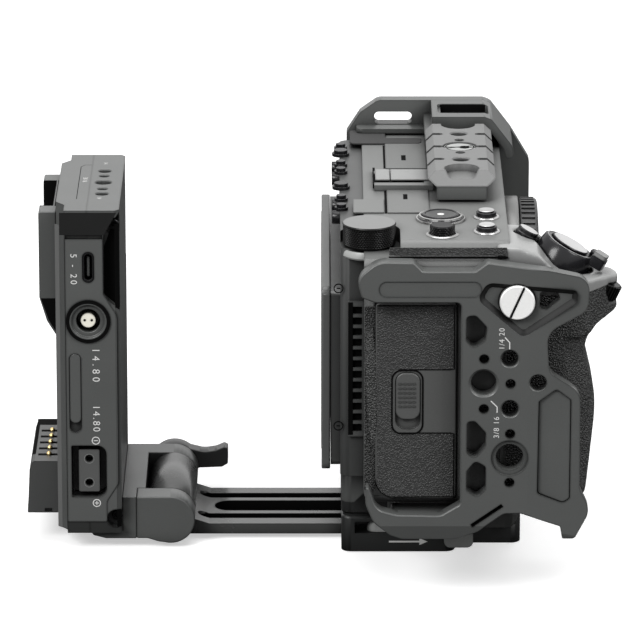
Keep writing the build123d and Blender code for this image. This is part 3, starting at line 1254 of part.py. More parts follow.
# ---------------------------------------------------------------- write one STEP per node
os.makedirs("parts", exist_ok=True)
for name, shape in parts.items():
    export_step(solids_of(shape), f"parts/{name}.step")
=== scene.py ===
from math import atan2, cos, pi, radians, sin, tan
import bmesh
import bpy
from mathutils import Matrix, Vector


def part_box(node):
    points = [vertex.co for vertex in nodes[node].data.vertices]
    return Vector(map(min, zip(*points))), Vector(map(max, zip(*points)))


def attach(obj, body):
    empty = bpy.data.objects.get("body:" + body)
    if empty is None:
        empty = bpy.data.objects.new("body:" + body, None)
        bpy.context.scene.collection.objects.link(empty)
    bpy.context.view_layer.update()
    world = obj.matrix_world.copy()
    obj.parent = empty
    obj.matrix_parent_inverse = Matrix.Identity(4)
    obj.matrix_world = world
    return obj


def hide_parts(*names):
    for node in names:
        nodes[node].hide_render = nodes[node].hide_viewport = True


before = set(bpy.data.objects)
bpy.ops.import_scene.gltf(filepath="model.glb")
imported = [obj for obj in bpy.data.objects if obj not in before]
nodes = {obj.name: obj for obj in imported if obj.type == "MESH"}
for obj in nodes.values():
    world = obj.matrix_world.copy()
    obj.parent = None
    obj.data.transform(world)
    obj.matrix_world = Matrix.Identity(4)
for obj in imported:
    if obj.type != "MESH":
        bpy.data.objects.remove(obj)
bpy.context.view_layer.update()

MM = 0.001

# ---- studio
# A plain white room: camera level with the object's side and a little above it, floor that only
# takes the object's soft shadow, one wide lamp overhead and two weaker ones beside the camera.
elevation = radians(16.5)
camera_data = bpy.data.cameras.new("studio_camera")
camera_data.sensor_width = 36.0
camera_data.sensor_fit = "HORIZONTAL"
camera_data.lens = 337.5
camera_data.clip_end = 20.0
studio_camera = bpy.data.objects.new("studio_camera", camera_data)
studio_camera.location = (-0.0365, -1.900258, 0.632343)
studio_camera.rotation_euler = (pi / 2 - elevation, 0, 0)
bpy.context.collection.objects.link(studio_camera)
bpy.context.scene.camera = studio_camera
bpy.context.scene.view_settings.view_transform = "Standard"
room_on_matt_faces = 0.35
room_seen = 1.0
floor_glow = 0.5
floor_colour = 0.8
floor_in_reflections = 0.05
floor_half_size = 6.0
floor_level = -0.0002


def add_node(tree, kind, sockets=None, **settings):
    """Adds a node: its settings, then its inputs, each from another node's output or a plain value."""
    made = tree.nodes.new(kind)
    for name, value in settings.items():
        setattr(made, name, value)
    for socket, value in (sockets or {}).items():
        if isinstance(value, bpy.types.NodeSocket):
            tree.links.new(value, made.inputs[socket])
        else:
            made.inputs[socket].default_value = value
    return made


def add_math(tree, operation, *values):
    """Output of a math node over outputs and plain values."""
    return add_node(tree, "ShaderNodeMath", dict(enumerate(values)), operation=operation).outputs[0]


def either(tree, first, *others):
    """Largest of several mask outputs."""
    for other in others:
        first = add_math(tree, "MAXIMUM", first, other)
    return first


world = bpy.data.worlds.new("white_room")
bpy.context.scene.world = world
world.use_nodes = True
room = world.node_tree
room.nodes.clear()
room_path = add_node(room, "ShaderNodeLightPath").outputs
dim_walls, seen_walls = (add_node(room, "ShaderNodeBackground", {"Color": (1.0, 1.0, 1.0, 1.0),
                                                                 "Strength": strength}).outputs[0]
                         for strength in (room_on_matt_faces, room_seen))
room_mix = add_node(room, "ShaderNodeMixShader", {
    "Fac": either(room, *(room_path[f"Is {ray} Ray"] for ray in ("Camera", "Glossy", "Transmission"))),
    1: dim_walls, 2: seen_walls})
add_node(room, "ShaderNodeOutputWorld", {"Surface": room_mix.outputs[0]})


def softbox(name, location, target, size, power):
    """Square area lamp that points at a target."""
    lamp = bpy.data.lights.new(name, "AREA")
    lamp.size = size
    lamp.energy = power
    holder = bpy.data.objects.new(name, lamp)
    holder.location = location
    aim = Vector(target) - Vector(location)
    holder.rotation_euler = aim.to_track_quat("-Z", "Y").to_euler()
    bpy.context.collection.objects.link(holder)


softbox("overhead_softbox", (-0.1, 0.15, 1.3), (-0.03, 0, 0.06), 1.1, 10.0)
softbox("left_softbox", (-0.9, -1.1, 1.1), (-0.03, 0, 0.06), 0.7, 21.0)
softbox("right_softbox", (1.1, -0.9, 1.0), (-0.03, 0, 0.06), 0.7, 12.0)

floor_mesh = bpy.data.meshes.new("studio_floor")
floor_mesh.from_pydata([(x * floor_half_size, y * floor_half_size, floor_level)
                        for x, y in ((-1, -1), (1, -1), (1, 1), (-1, 1))], [], [(0, 1, 2, 3)])
floor = bpy.data.objects.new("studio_floor", floor_mesh)
bpy.context.collection.objects.link(floor)
floor_paint = bpy.data.materials.new("floor_paint")
floor_paint.use_nodes = True
paper = floor_paint.node_tree
paper.nodes.clear()
paper_seen, paper_dim = (
    add_node(paper, "ShaderNodeBsdfDiffuse", {"Color": (grey, grey, grey, 1.0)}).outputs[0]
    for grey in (floor_colour, floor_in_reflections))
paper_glow = add_node(paper, "ShaderNodeEmission", {"Strength": floor_glow}).outputs[0]
paper_lit = add_node(paper, "ShaderNodeAddShader", {0: paper_seen, 1: paper_glow}).outputs[0]
paper_path = add_node(paper, "ShaderNodeLightPath").outputs
paper_mix = add_node(paper, "ShaderNodeMixShader", {"Fac": paper_path["Is Camera Ray"], 1: paper_dim,
                                                    2: paper_lit})
add_node(paper, "ShaderNodeOutputMaterial", {"Surface": paper_mix.outputs[0]})
floor_mesh.materials.append(floor_paint)

# ---- clamp base
# The black anodised block that everything stands on: machined aluminium with broken edges,
# a tunnel for the slide arm, a dovetail channel on top and a pocket for the clamp lever.
# A printed white arrow on its near side shows which way the camera slides in.


def shader_group(name, inputs, outputs):
    """Empty shader group with named inputs, their usual values, and named outputs."""
    group = bpy.data.node_groups.new(name, "ShaderNodeTree")
    for label, value in inputs.items():
        group.interface.new_socket(label, in_out="INPUT", socket_type="NodeSocketFloat").default_value = value
    for label in outputs:
        group.interface.new_socket(label, in_out="OUTPUT", socket_type="NodeSocketFloat")
    return group, add_node(group, "NodeGroupInput").outputs


def surface_grain_group():
    """Shader group: fine grain over a surface, as a brightness factor, a gloss factor and a height."""
    group, given = shader_group("surface_grain", {"Grain Scale": 2200.0, "Cloud Scale": 60.0,
                                                  "Tone Spread": 0.1}, ("Tone", "Gloss", "Height"))
    place = add_node(group, "ShaderNodeTexCoord").outputs["Object"]
    grain, cloud = (add_node(group, "ShaderNodeTexNoise", {"Vector": place, "Scale": given[scale],
                                                           "Detail": detail}).outputs["Fac"]
                    for scale, detail in (("Grain Scale", 2.0), ("Cloud Scale", 3.0)))
    centred = add_math(group, "SUBTRACT", add_math(group, "ADD", grain, cloud), 1.0)
    tone = add_math(group, "MULTIPLY_ADD", centred, given["Tone Spread"], 1.0)
    add_node(group, "NodeGroupOutput", {"Tone": tone, "Gloss": cloud, "Height": grain})
    return group


def edge_and_cavity_group():
    """Shader group: masks for painted highlights on outer edges and for painted shade in inner corners and
    holes.
    """
    group, given = shader_group("edge_and_cavity", {"Edge Width": 0.0006, "Cavity Reach": 0.007},
                                ("Edge", "Cavity"))
    masks = {}
    for reach, mask, inside, low, high in (("Edge Width", "Edge", True, 0.45, 0.95),
                                           ("Cavity Reach", "Cavity", False, 0.25, 0.9)):
        probe = add_node(group, "ShaderNodeAmbientOcclusion", {"Distance": given[reach]}, samples=6,
                         inside=inside, only_local=inside)
        limit = add_node(group, "ShaderNodeMapRange", {
            "Value": probe.outputs["AO"], "From Min": low, "From Max": high,
            "To Min": 0.0 if inside else 1.0, "To Max": 1.0 if inside else 0.0})
        masks[mask] = limit.outputs[0]
    add_node(group, "NodeGroupOutput", masks)
    return group


grain_group = surface_grain_group()
light_and_shade_group = edge_and_cavity_group()
# Strengths of the painted highlight on outer edges and of the painted shade in inner corners and holes.
gloss_swing = 0.1
cavity_shade = 0.95


def grained_finish(name, colour, roughness, metallic=0.0, grain=2200.0, spread=0.12, bump=0.00002,
                   specular=0.5, group=grain_group, edge_highlight=0.6):
    """Blasted and anodised or moulded finish: fine grain, painted highlights on outer edges, painted shade in
    inner corners.
    """
    paint = bpy.data.materials.new(name)
    paint.use_nodes = True
    tree = paint.node_tree
    shader = tree.nodes["Principled BSDF"].inputs
    shader["Metallic"].default_value = metallic
    shader["Specular IOR Level"].default_value = specular
    surface = add_node(tree, "ShaderNodeGroup", node_tree=group)
    surface.inputs["Grain Scale"].default_value = grain
    surface.inputs["Tone Spread"].default_value = spread
    light_and_shade = add_node(tree, "ShaderNodeGroup", node_tree=light_and_shade_group)
    tone = surface.outputs["Tone"]
    # The edge mask lightens the colour as a painted highlight, and the cavity mask darkens it as painted
    # shade.
    for mask, strength in (("Edge", edge_highlight), ("Cavity", -cavity_shade)):
        weight = add_math(tree, "MULTIPLY_ADD", light_and_shade.outputs[mask], strength, 1.0)
        tone = add_math(tree, "MULTIPLY", tone, weight)
    tint = add_node(tree, "ShaderNodeMix", {"Factor": 1.0, "A": (*colour, 1.0), "B": tone}, data_type="RGBA",
                    blend_type="MULTIPLY")
    gloss = add_math(tree, "MULTIPLY_ADD", surface.outputs["Gloss"], gloss_swing, roughness - gloss_swing / 2)
    relief = add_node(tree, "ShaderNodeBump", {"Strength": 1.0, "Distance": bump,
                                               "Height": surface.outputs["Height"]})
    tree.links.new(tint.outputs["Result"], shader["Base Color"])
    tree.links.new(gloss, shader["Roughness"])
    tree.links.new(relief.outputs["Normal"], shader["Normal"])
    return paint


black_anodised = grained_finish("black_anodised", (0.011, 0.0115, 0.0115), 0.4)
white_ink = grained_finish("white_ink", (0.75, 0.75, 0.74), 0.55, spread=0.05)
same_point = 0.000004
flat_within = radians(0.6)
sharp_above = radians(24.0)


def dress(node, material, edge, segments=2):
    """Gives a rigid solid its finish and breaks its sharp edges by edge millimetres."""
    part = nodes[node]
    part.data.materials.clear()
    part.data.materials.append(material)
    if edge > 0:
        weld = part.modifiers.new("weld", "WELD")
        weld.merge_threshold = same_point
        merge = part.modifiers.new("merge_flat", "DECIMATE")
        merge.decimate_type = "DISSOLVE"
        merge.angle_limit = flat_within
        bevel = part.modifiers.new("edge_break", "BEVEL")
        bevel.width = edge * MM
        bevel.segments = segments
        bevel.limit_method = "ANGLE"
        bevel.angle_limit = sharp_above
        bevel.harden_normals = True
        bevel.use_clamp_overlap = True


def placed(u, v, level, normal):
    """A point of a flat face from its two coordinates and its level along the axis, in millimetres."""
    return Vector({"X": (level, u, v), "Y": (u, level, v), "Z": (u, v, level)}[normal]) * MM


def strip(bm, lower, upper, finish=0):
    """Band of faces between two rings with equally many points."""
    for here in range(len(lower)):
        after = (here + 1) % len(lower)
        bm.faces.new((lower[here], lower[after], upper[after], upper[here])).material_index = finish


def slab(bm, outline, low, high, normal="Z", finish=0):
    """Flat plate: an outline in millimetres, drawn out from low to high along an axis."""
    ends = [[bm.verts.new(placed(u, v, level, normal)) for u, v in outline] for level in (low, high)]
    for end in ends:
        bm.faces.new(end).material_index = finish
    strip(bm, *ends, finish)


def finished(name, bm, materials, body, edge=0.0, crease=35.0, replaces=()):
    """Turns a bmesh into a piece: normals outwards, soft shading up to the crease angle, and its body."""
    bmesh.ops.recalc_face_normals(bm, faces=bm.faces)
    for face in bm.faces:
        face.smooth = True
    for line in bm.edges:
        line.smooth = len(line.link_faces) == 2 and line.calc_face_angle(0.0) < radians(crease)
    mesh = bpy.data.meshes.new(name)
    bm.to_mesh(mesh)
    bm.free()
    piece = bpy.data.objects.new(name, mesh)
    bpy.context.collection.objects.link(piece)
    for material in materials:
        mesh.materials.append(material)
    if edge > 0:
        bevel = piece.modifiers.new("edge_break", "BEVEL")
        bevel.width = edge * MM
        bevel.segments = 2
        bevel.limit_method = "ANGLE"
        bevel.angle_limit = radians(crease)
        bevel.harden_normals = True
    if replaces:
        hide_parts(*replaces)
    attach(piece, body)


dress("clamp_base", black_anodised, 0.5)
base_near_y = -33.0
arrow = bmesh.new()
slab(arrow, [(-13.9, 3.1), (-3.9, 3.1), (-3.9, 2.2), (-1.2, 3.4), (-3.9, 4.6), (-3.9, 3.7), (-13.9, 3.7)],
     base_near_y - 0.04, base_near_y + 0.02, "Y")
finished("base_arrow", arrow, [white_ink], "base")

# ---- clamp lever and screws
# Light grey lever that locks the dovetail: cast aluminium, blasted and clear anodised,
# held by a blackened pivot screw; the tab stands out from the base for the thumb.
lever_finish = grained_finish("clear_anodised", (0.24, 0.245, 0.24), 0.4, spread=0.08)
dark_screw_steel = grained_finish("blackened_steel", (0.02, 0.02, 0.021), 0.3, metallic=0.7, spread=0.1)
bright_steel = grained_finish("bright_steel", (0.93, 0.93, 0.92), 0.42, metallic=0.5, spread=0.03,
                              bump=0.000004)
dress("clamp_lever", lever_finish, 0.6, segments=3)
for screw in ("clamp_lever_pivot", "clamp_screw", "arm_stop_screw"):
    dress(screw, dark_screw_steel, 0.1)

# ---- hinge
# Milled and anodised bracket with one fixed and one bolted ear, a steel pin through both and the
# arm's knuckle, and a black cast lever whose nut clamps the joint.
cage_finish = grained_finish("cage_anodised", (0.043, 0.0445, 0.0435), 0.34, spread=0.1, edge_highlight=1.2)
dress("hinge_bracket", cage_finish, 0.4)
dress("hinge_ear", cage_finish, 0.5)
dress("hinge_lever", grained_finish("lever_black", (0.018, 0.0185, 0.0185), 0.34), 0.6)
dress("hinge_pin", dark_screw_steel, 0.3)
dress("lever_nut", dark_screw_steel, 0.3)

# ---- battery plate shells
# Two machined and anodised half shells screwed together, with a port panel let into the near
# side. White printed figures beside the ports give voltages and polarity.
for shell in ("plate_rear_shell", "plate_front_shell", "port_panel"):
    dress(shell, cage_finish, 0.4)
dress("release_slider", cage_finish, 0.3)
dress("plate_screws", dark_screw_steel, 0.1)

plate_near_y = -35.0
plate_top_z = 116.6
ink_depth = 0.03
cap_height_share = 0.71
near_facing = Matrix.Rotation(pi / 2, 4, "X")
top_facing = Matrix.Identity(4)


def at(x, y, z):
    """Place of a point in millimetres, as a matrix."""
    return Matrix.Translation(Vector((x, y, z)) * MM)


def lettering(bm, figures, height, centre, facing, turn=0.0, stretch=1.0):
    """Printed figures of a cap height in millimetres, centred on a place of a flat face."""
    font = bpy.data.curves.new("figures", "FONT")
    font.body = figures
    font.size = height * MM / cap_height_share
    font.extrude = ink_depth * MM
    font.resolution_u = 4
    font.space_character = stretch
    font.align_x = "CENTER"
    font.align_y = "CENTER"
    holder = bpy.data.objects.new("figures", font)
    bpy.context.collection.objects.link(holder)
    printed = bpy.data.meshes.new_from_object(holder)
    printed.transform(at(*centre) @ facing @ Matrix.Rotation(radians(turn), 4, "Z"))
    bm.from_mesh(printed)
    bpy.data.objects.remove(holder)
    bpy.data.curves.remove(font)
    bpy.data.meshes.remove(printed)


def ring_outline(radius, steps=32, centre=(0.0, 0.0)):
    """Outline of a circle."""
    return [(centre[0] + radius * cos(2 * pi * k / steps), centre[1] + radius * sin(2 * pi * k / steps))
            for k in range(steps)]


def ring_slab(bm, centre, inner, outer, low, high, normal="Z", steps=32):
    """Flat ring on a face."""
    rings = [[bm.verts.new(placed(u, v, level, normal)) for u, v in ring_outline(radius, steps, centre)]
             for radius, level in ((inner, low), (outer, low), (outer, high), (inner, high))]
    for side in range(4):
        strip(bm, rings[side], rings[(side + 1) % 4])


def stroke(bm, points, width, low, high, normal="Y"):
    """Drawn line of a given width through points of a flat face."""
    left, right = [], []
    for index, point in enumerate(points):
        here = Vector(point)
        after, before = points[min(index + 1, len(points) - 1)], points[max(index - 1, 0)]
        ahead = (Vector(after) - Vector(before)).normalized()
        side = Vector((-ahead.y, ahead.x)) * width / 2
        left.append(tuple(here + side))
        right.append(tuple(here - side))
    slab(bm, left + right[::-1], low, high, normal)


def rounded(points, radius, steps=4):
    """The points of an outline with each corner turned into an arc of radius millimetres."""
    radii = radius if isinstance(radius, (list, tuple)) else [radius] * len(points)
    outline = []
    for index, (corner, bend) in enumerate(zip(points, radii)):
        here = Vector(corner)
        if bend <= 0:
            outline.append(tuple(here))
            continue
        back = (Vector(points[index - 1]) - here).normalized()
        ahead = (Vector(points[(index + 1) % len(points)]) - here).normalized()
        half = back.angle(ahead) / 2
        centre = here + (back + ahead).normalized() * (bend / sin(half))
        start = here + back * (bend / tan(half)) - centre
        stop = here + ahead * (bend / tan(half)) - centre
        first = atan2(start.y, start.x)
        sweep = (atan2(stop.y, stop.x) - first + pi) % (2 * pi) - pi
        for step in range(steps + 1):
            turn = first + sweep * step / steps
            outline.append((centre.x + bend * cos(turn), centre.y + bend * sin(turn)))
    return outline


def block(x0, x1, y0, y1):
    """Outline of a rectangle."""
    return [(x0, y0), (x1, y0), (x1, y1), (x0, y1)]


plate_ink = bmesh.new()
print_low = plate_near_y - 0.04
print_high = plate_near_y + 0.02
for figures, height, x, z, stretch in (("5 - 20", 2.1, -116.3, 97.0, 1.45), ("14.80", 2.4, -109.4, 64.6, 1.6),
                                       ("14.80", 2.3, -109.4, 46.4, 1.3)):
    lettering(plate_ink, figures, height, (x, plate_near_y - 0.03, z), near_facing, -90, stretch)
for x, z in ((-109.6, 38.8), (-109.5, 17.4)):
    ring_slab(plate_ink, (x, z), 1.05, 1.35, print_low, print_high, "Y")
    stroke(plate_ink, [(x - 0.7, z), (x + 0.7, z)], 0.28, print_low, print_high)
stroke(plate_ink, [(-109.5, 16.7), (-109.5, 18.1)], 0.28, plate_near_y - 0.05, print_high)
for figures, x, y in (("14", -107.6, 23.8), ("38 16", -113.7, 3.0), ("14", -108.3, -19.6)):
    lettering(plate_ink, figures, 1.5, (x, y, plate_top_z + 0.02), top_facing, -90, 1.2)
finished("plate_figures", plate_ink, [white_ink], "battery_plate")

groove_shadow = grained_finish("groove_shadow", (0.003, 0.003, 0.003), 0.8, specular=0.05)


def painted_shade_sheet(name, bm, body):
    """Matt black sheet of painted shade in a slot, hole or gap, where shade falls."""
    finished(name, bm, [groove_shadow], body)


plate_lines = bmesh.new()
stroke(plate_lines, [(-115.6, -20.8), (-115.6, 19.5), (-114.4, 21.8), (-112.2, 21.8)], 0.22,
       plate_top_z - 0.02, plate_top_z + 0.015, "Z")
finished("plate_top_line", plate_lines, [groove_shadow], "battery_plate")

# Painted shade: black on the shells' right-hand chamfer and on the floor of the side pocket.
side_shade = bmesh.new()
slab(side_shade, [(-102.85, -35.02), (-101.38, -33.55), (-101.42, -33.5), (-102.9, -34.97)], 9.0, 112.0)
slab(side_shade, [(-106.5, 87.6), (-101.7, 82.4), (-101.7, 115.2), (-102.0, 115.4), (-106.5, 103.2)],
     -30.62, -30.5, "Y")
painted_shade_sheet("side_pocket_painted_shade", side_shade, "battery_plate")

# Painted light on the shells: a lighter band on the left chamfer as its highlight, and a dark band of painted
# shade across the top of the near side.
painted_highlight_band = grained_finish("painted_highlight_band", (0.14, 0.142, 0.14), 0.36)
painted_shade_band = grained_finish("painted_shade_band", (0.012, 0.0122, 0.012), 0.5, specular=0.2)
shell_painted_light_bands = bmesh.new()
slab(shell_painted_light_bands, [(-122.24, -33.62), (-120.82, -35.04), (-120.79, -34.98), (-122.18, -33.59)], 9.0, 111.8)
slab(shell_painted_light_bands, [(-120.7, 115.9), (-102.2, 115.9), (-106.4, 108.4), (-120.7, 108.4)], plate_near_y - 0.03,
     plate_near_y + 0.05, "Y", 1)
finished("shell_painted_light_bands", shell_painted_light_bands, [painted_highlight_band, painted_shade_band], "battery_plate")

# ---- slide arm
# Flat bar with a round knuckle at its outer end: milled aluminium, dark anodised and slightly
# polished. Three long slots run along it; dark linings stand for their unlit walls and floors.
arm_finish = grained_finish("arm_anodised", (0.06, 0.061, 0.06), 0.26, metallic=0.25, spread=0.1)
dress("slide_arm", arm_finish, 0.3)
slot_floors = bmesh.new()
for y, half_width, start_x, stop_x, floor_z in (
        (0.0, 5.2, -71.4, 18.6, 1.5), (-10.8, 2.35, -76.8, 24.9, 2.45), (10.8, 2.35, -76.8, 24.9, 2.45)):
    slot = block(start_x, stop_x, y - half_width, y + half_width)
    round_end = half_width - 0.2
    slab(slot_floors, rounded(slot, [round_end, 0, 0, round_end], 8), floor_z, floor_z + 0.25)
for y, radius, start_x, low in ((0.0, 5.34, -66.2, 1.5), (-10.8, 2.44, -74.5, 2.5), (10.8, 2.44, -74.5, 2.5)):
    wall = [(start_x + radius * cos(radians(turn)), y + radius * sin(radians(turn)))
            for turn in range(210, 89, -10)]
    stroke(slot_floors, wall + [(13.0, y + radius)], 0.09, low, 4.98, "Z")
painted_shade_sheet("arm_slot_floors", slot_floors, "arm")

# ---- battery receiver and contacts
# Wedge-shaped rail pocket for the battery with its spring latch, and the moulded contact block
# with gold-plated blades; screwed to the rear shell.
moulded_black = grained_finish("moulded_black", (0.014, 0.0142, 0.0145), 0.4, spread=0.15)
moulded_ivory = grained_finish("moulded_ivory", (0.62, 0.6, 0.53), 0.45, spread=0.1)
gold_plate = grained_finish("gold_plate", (0.66, 0.5, 0.24), 0.3, metallic=1.0, spread=0.1)
dress("battery_receiver", cage_finish, 0.4)
# Painted shade: the latch takes the matt black of the groove shadow, and black sheets cover the receiver's
# slot and walls.
dress("battery_latch", groove_shadow, 0.3)
slot_shade = bmesh.new()
slab(slot_shade, [(-15.5, 113.0), (15.5, 113.0), (10.9, 82.3), (-10.9, 82.3)], -123.64, -123.58, "X")
for side in (-1, 1):
    edge_line = [(side * y, z) for y, z in ((15.55, 113.0), (15.45, 113.0), (10.7, 82.3), (10.8, 82.3))]
    slab(slot_shade, edge_line, -127.9, -123.6, "X")
slab(slot_shade, block(-123.0, -122.25, -16.0, 16.0), 113.0, 113.06)
slab(slot_shade, [(-127.5, 83.8), (-122.3, 83.8), (-122.3, 71.8), (-125.0, 76.4)], -23.56, -23.45, "Y")
painted_shade_sheet("receiver_slot_painted_shade", slot_shade, "battery_plate")
dress("contact_block", grained_finish("block_grey", (0.042, 0.043, 0.0425), 0.4), 0.5)
dress("contact_pins", gold_plate, 0)
# Painted shade: black strips along the far and left edges of the contact block's top.
block_strips = bmesh.new()
slab(block_strips, block(-131.2, -122.3, 16.4, 22.9), 27.95, 28.04)
slab(block_strips, block(-131.3, -130.2, -15.5, 16.4), 27.9, 28.03)
painted_shade_sheet("contact_block_strips", block_strips, "battery_plate")

# ---- ports
# USB-C shell and round power port of blackened steel and anodised aluminium, with moulded
# inserts, and a two-hole outlet; all are pressed into the port panel.
dress("usb_shell", dark_screw_steel, 0.1)
dress("usb_tongue", cage_finish, 0.1)
dress("round_port_ring", cage_finish, 0.3)
dress("round_port_insulator", moulded_ivory, 0.2)
dress("outlet_insert", grained_finish("insert_grey", (0.06, 0.061, 0.06), 0.4), 0.2)
# Painted shade: a black ring in the gap round the power port.
port_lines = bmesh.new()
ring_slab(port_lines, (-111.7, 79.4), 6.05, 7.2, plate_near_y - 0.56, plate_near_y - 0.4, "Y", 64)
painted_shade_sheet("round_port_gap", port_lines, "battery_plate")
hole_rims = bmesh.new()
for z in (24.1, 32.3):
    ring_slab(hole_rims, (-111.9, z), 1.5, 1.68, plate_near_y + 0.93, plate_near_y + 1.1, "Y")
finished("outlet_hole_rims", hole_rims, [lever_finish], "battery_plate")

# ---- cage
# Dark anodised cage: base plate, two side plates and a bridge with an accessory rail, milled from
# aluminium and screwed together; printed thread sizes with leader lines on the grip-side plate.
dress("quick_release_plate", black_anodised, 0.4)
dress("quick_plate_screws", dark_screw_steel, 0.2)
for plate in ("cage_base_plate", "cage_grip_plate", "grip_plate_inset", "cage_far_plate", "cage_top_bridge"):
    dress(plate, cage_finish, 0.35)
# The rail's anodising is lighter than the cage's: painted light for its top face under the light from above.
rail_painted_light = grained_finish("rail_anodised_painted_light", (0.1, 0.101, 0.1), 0.42, spread=0.1)
dress("top_rail", rail_painted_light, 0.35)
dress("cage_joint_screws", dark_screw_steel, 0.1)
dress("silver_screw", bright_steel, 0.2)
screw_face_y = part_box("silver_screw")[0].y / MM
screw_x, screw_z = 25.7, 100.7
slot_turn = radians(67.8)
screw_line = bmesh.new()
stroke(screw_line, [(screw_x + reach * cos(slot_turn), screw_z + reach * sin(slot_turn))
                    for reach in (-5.3, 5.3)], 0.4, screw_face_y - 0.02, screw_face_y + 0.3)
finished("silver_screw_slot", screw_line, [dark_screw_steel], "cage")
dress("top_rail_screw", lever_finish, 0.2)
rail_screw_marks = bmesh.new()
rail_x, rail_y = 9.5, 9.0
ring_slab(rail_screw_marks, (rail_x, rail_y), 4.5, 4.8, 126.15, 126.24, steps=48)
slab(rail_screw_marks, [(rail_x + along * 4.0 - across, rail_y + along * 1.6 + across * 0.4)
                        for along, across in ((-1, -0.35), (1, -0.35), (1, 0.35), (-1, 0.35))], 126.1, 126.24)
slab(rail_screw_marks, ring_outline(1.7, 24, (11.0, 8.6)), 126.1, 126.25)
finished("rail_screw_marks", rail_screw_marks, [groove_shadow], "cage")
# Matt black pad under the bridge's ledge: its black stands for painted shade on the deck under the bridge.
pad_rubber = grained_finish("pad_rubber", (0.02, 0.02, 0.02), 0.8, spread=0.2)
dress("camera_pad", pad_rubber, 0.2)
dress("camera_screw", bright_steel, 0.2)

# Painted shade: black sheets in the bridge's loop and in the rail's holes.
loop_shade = bmesh.new()
slab(loop_shade, block(3.6, 19.4, 124.7, 127.2), 60.62, 60.76, "Y")
for y, radius, floor_z in ((25.2, 2.6, 125.3), (-7.5, 2.6, 125.3), (16.8, 1.55, 125.9), (0.9, 1.55, 125.9)):
    slab(loop_shade, ring_outline(radius, 28, (9.5, y)), floor_z - 0.1, floor_z)
painted_shade_sheet("dark_openings", loop_shade, "cage")

grip_plate_y = -86.0
recess_shade = bmesh.new()
recess_edge = [Vector(point) for point in rounded([(16.2, 107.2), (45.0, 104.6), (44.6, 100.6), (27.6, 88.8),
                                                   (12.9, 101.6)], [3.5, 1.6, 2.2, 3.0, 3.0], 6)]
recess_rings = []
for inset, depth in ((0.1, 0.04), (1.75, 1.56), (0.3, 1.75)):
    ring = []
    for index, point in enumerate(recess_edge):
        along = (recess_edge[(index + 1) % len(recess_edge)] - recess_edge[index - 1]).normalized()
        spot = point + Vector((along.y, -along.x)) * inset
        ring.append(recess_shade.verts.new(placed(spot.x, spot.y, grip_plate_y + depth, "Y")))
    recess_rings.append(ring)
for side in range(3):
    strip(recess_shade, recess_rings[side], recess_rings[(side + 1) % 3])
finished("recess_shade", recess_shade, [painted_shade_band], "cage")

cage_ink = bmesh.new()
for figures, x, z in (("1/4 20", 21.0, 88.7), ("3/8 16", 19.5, 59.4)):
    lettering(cage_ink, figures, 1.75, (x, grip_plate_y - 0.03, z), near_facing, 90, 1.15)
for line in ([(21.9, 89.2), (23.4, 87.5), (23.4, 85.3)], [(17.6, 68.2), (19.6, 66.2), (19.6, 64.3)]):
    stroke(cage_ink, line, 0.35, grip_plate_y - 0.04, grip_plate_y + 0.02)
finished("cage_figures", cage_ink, [white_ink], "cage")

# ---- camera shell
# Flat-topped camera body: painted magnesium shell with thin cover plates let into its deck,
# a cold shoe under a sliding cover, and a cooling vent at the rear corner.


def leather_grain_group():
    """Shader group: pebbled rubber grain, as a brightness factor, a gloss factor and a height."""
    group, given = shader_group("leather_grain", {"Grain Scale": 1500.0, "Tone Spread": 0.3},
                                ("Tone", "Gloss", "Height"))
    place = add_node(group, "ShaderNodeTexCoord").outputs["Object"]
    warp = add_node(group, "ShaderNodeTexNoise", {"Scale": 700.0, "Vector": place})
    shifted = add_node(group, "ShaderNodeVectorMath", {0: warp.outputs["Color"], 1: (0.0006, 0.0006, 0.0006),
                                                       2: place}, operation="MULTIPLY_ADD")
    pebbles = add_node(group, "ShaderNodeTexVoronoi", {"Vector": shifted.outputs[0],
                                                       "Scale": given["Grain Scale"]}, feature="F1")
    height = add_node(group, "ShaderNodeMapRange", {
        "Value": pebbles.outputs["Distance"], "From Min": 0.15, "From Max": 0.65, "To Min": 1.0,
        "To Max": 0.0}).outputs[0]
    tone = add_math(group, "MULTIPLY_ADD", height, given["Tone Spread"], 0.85)
    add_node(group, "NodeGroupOutput", {"Tone": tone, "Gloss": warp.outputs["Fac"], "Height": height})
    return group


leather_group = leather_grain_group()
camera_paint = grained_finish("camera_paint", (0.062, 0.0635, 0.0625), 0.38, spread=0.12)
camera_silver = grained_finish("camera_silver", (0.4, 0.4, 0.395), 0.24, metallic=1.0, spread=0.06)
# The deck's paint is lighter than the shell's: painted light for the top faces, which catch the light from
# above.
deck_paint_painted_light = grained_finish("deck_paint_painted_light", (0.1, 0.102, 0.1), 0.42, spread=0.12)
gloss_black = grained_finish("gloss_black", (0.008, 0.008, 0.009), 0.2, spread=0.05, specular=0.3)
leather = grained_finish("leather", (0.04, 0.0405, 0.04), 0.42, spread=0.3, grain=2100.0, bump=0.00012,
                         group=leather_group)
leather_dark = grained_finish("leather_dark", (0.028, 0.0285, 0.028), 0.3, spread=1.6, grain=1700.0,
                              bump=0.0005, group=leather_group)
for piece in ("camera_body", "camera_vent_grille"):
    dress(piece, camera_paint, 0.3)
housing_paint = grained_finish("housing_paint", (0.035, 0.036, 0.0355), 0.4, spread=0.1)
dress("camera_rear_housing", housing_paint, 0.3)
dress("camera_top_cover", deck_paint_painted_light, 0.5, segments=3)
dress("camera_rear_studs", gloss_black, 0.3)
dress("camera_accessory_shoe", deck_paint_painted_light, 0.15)

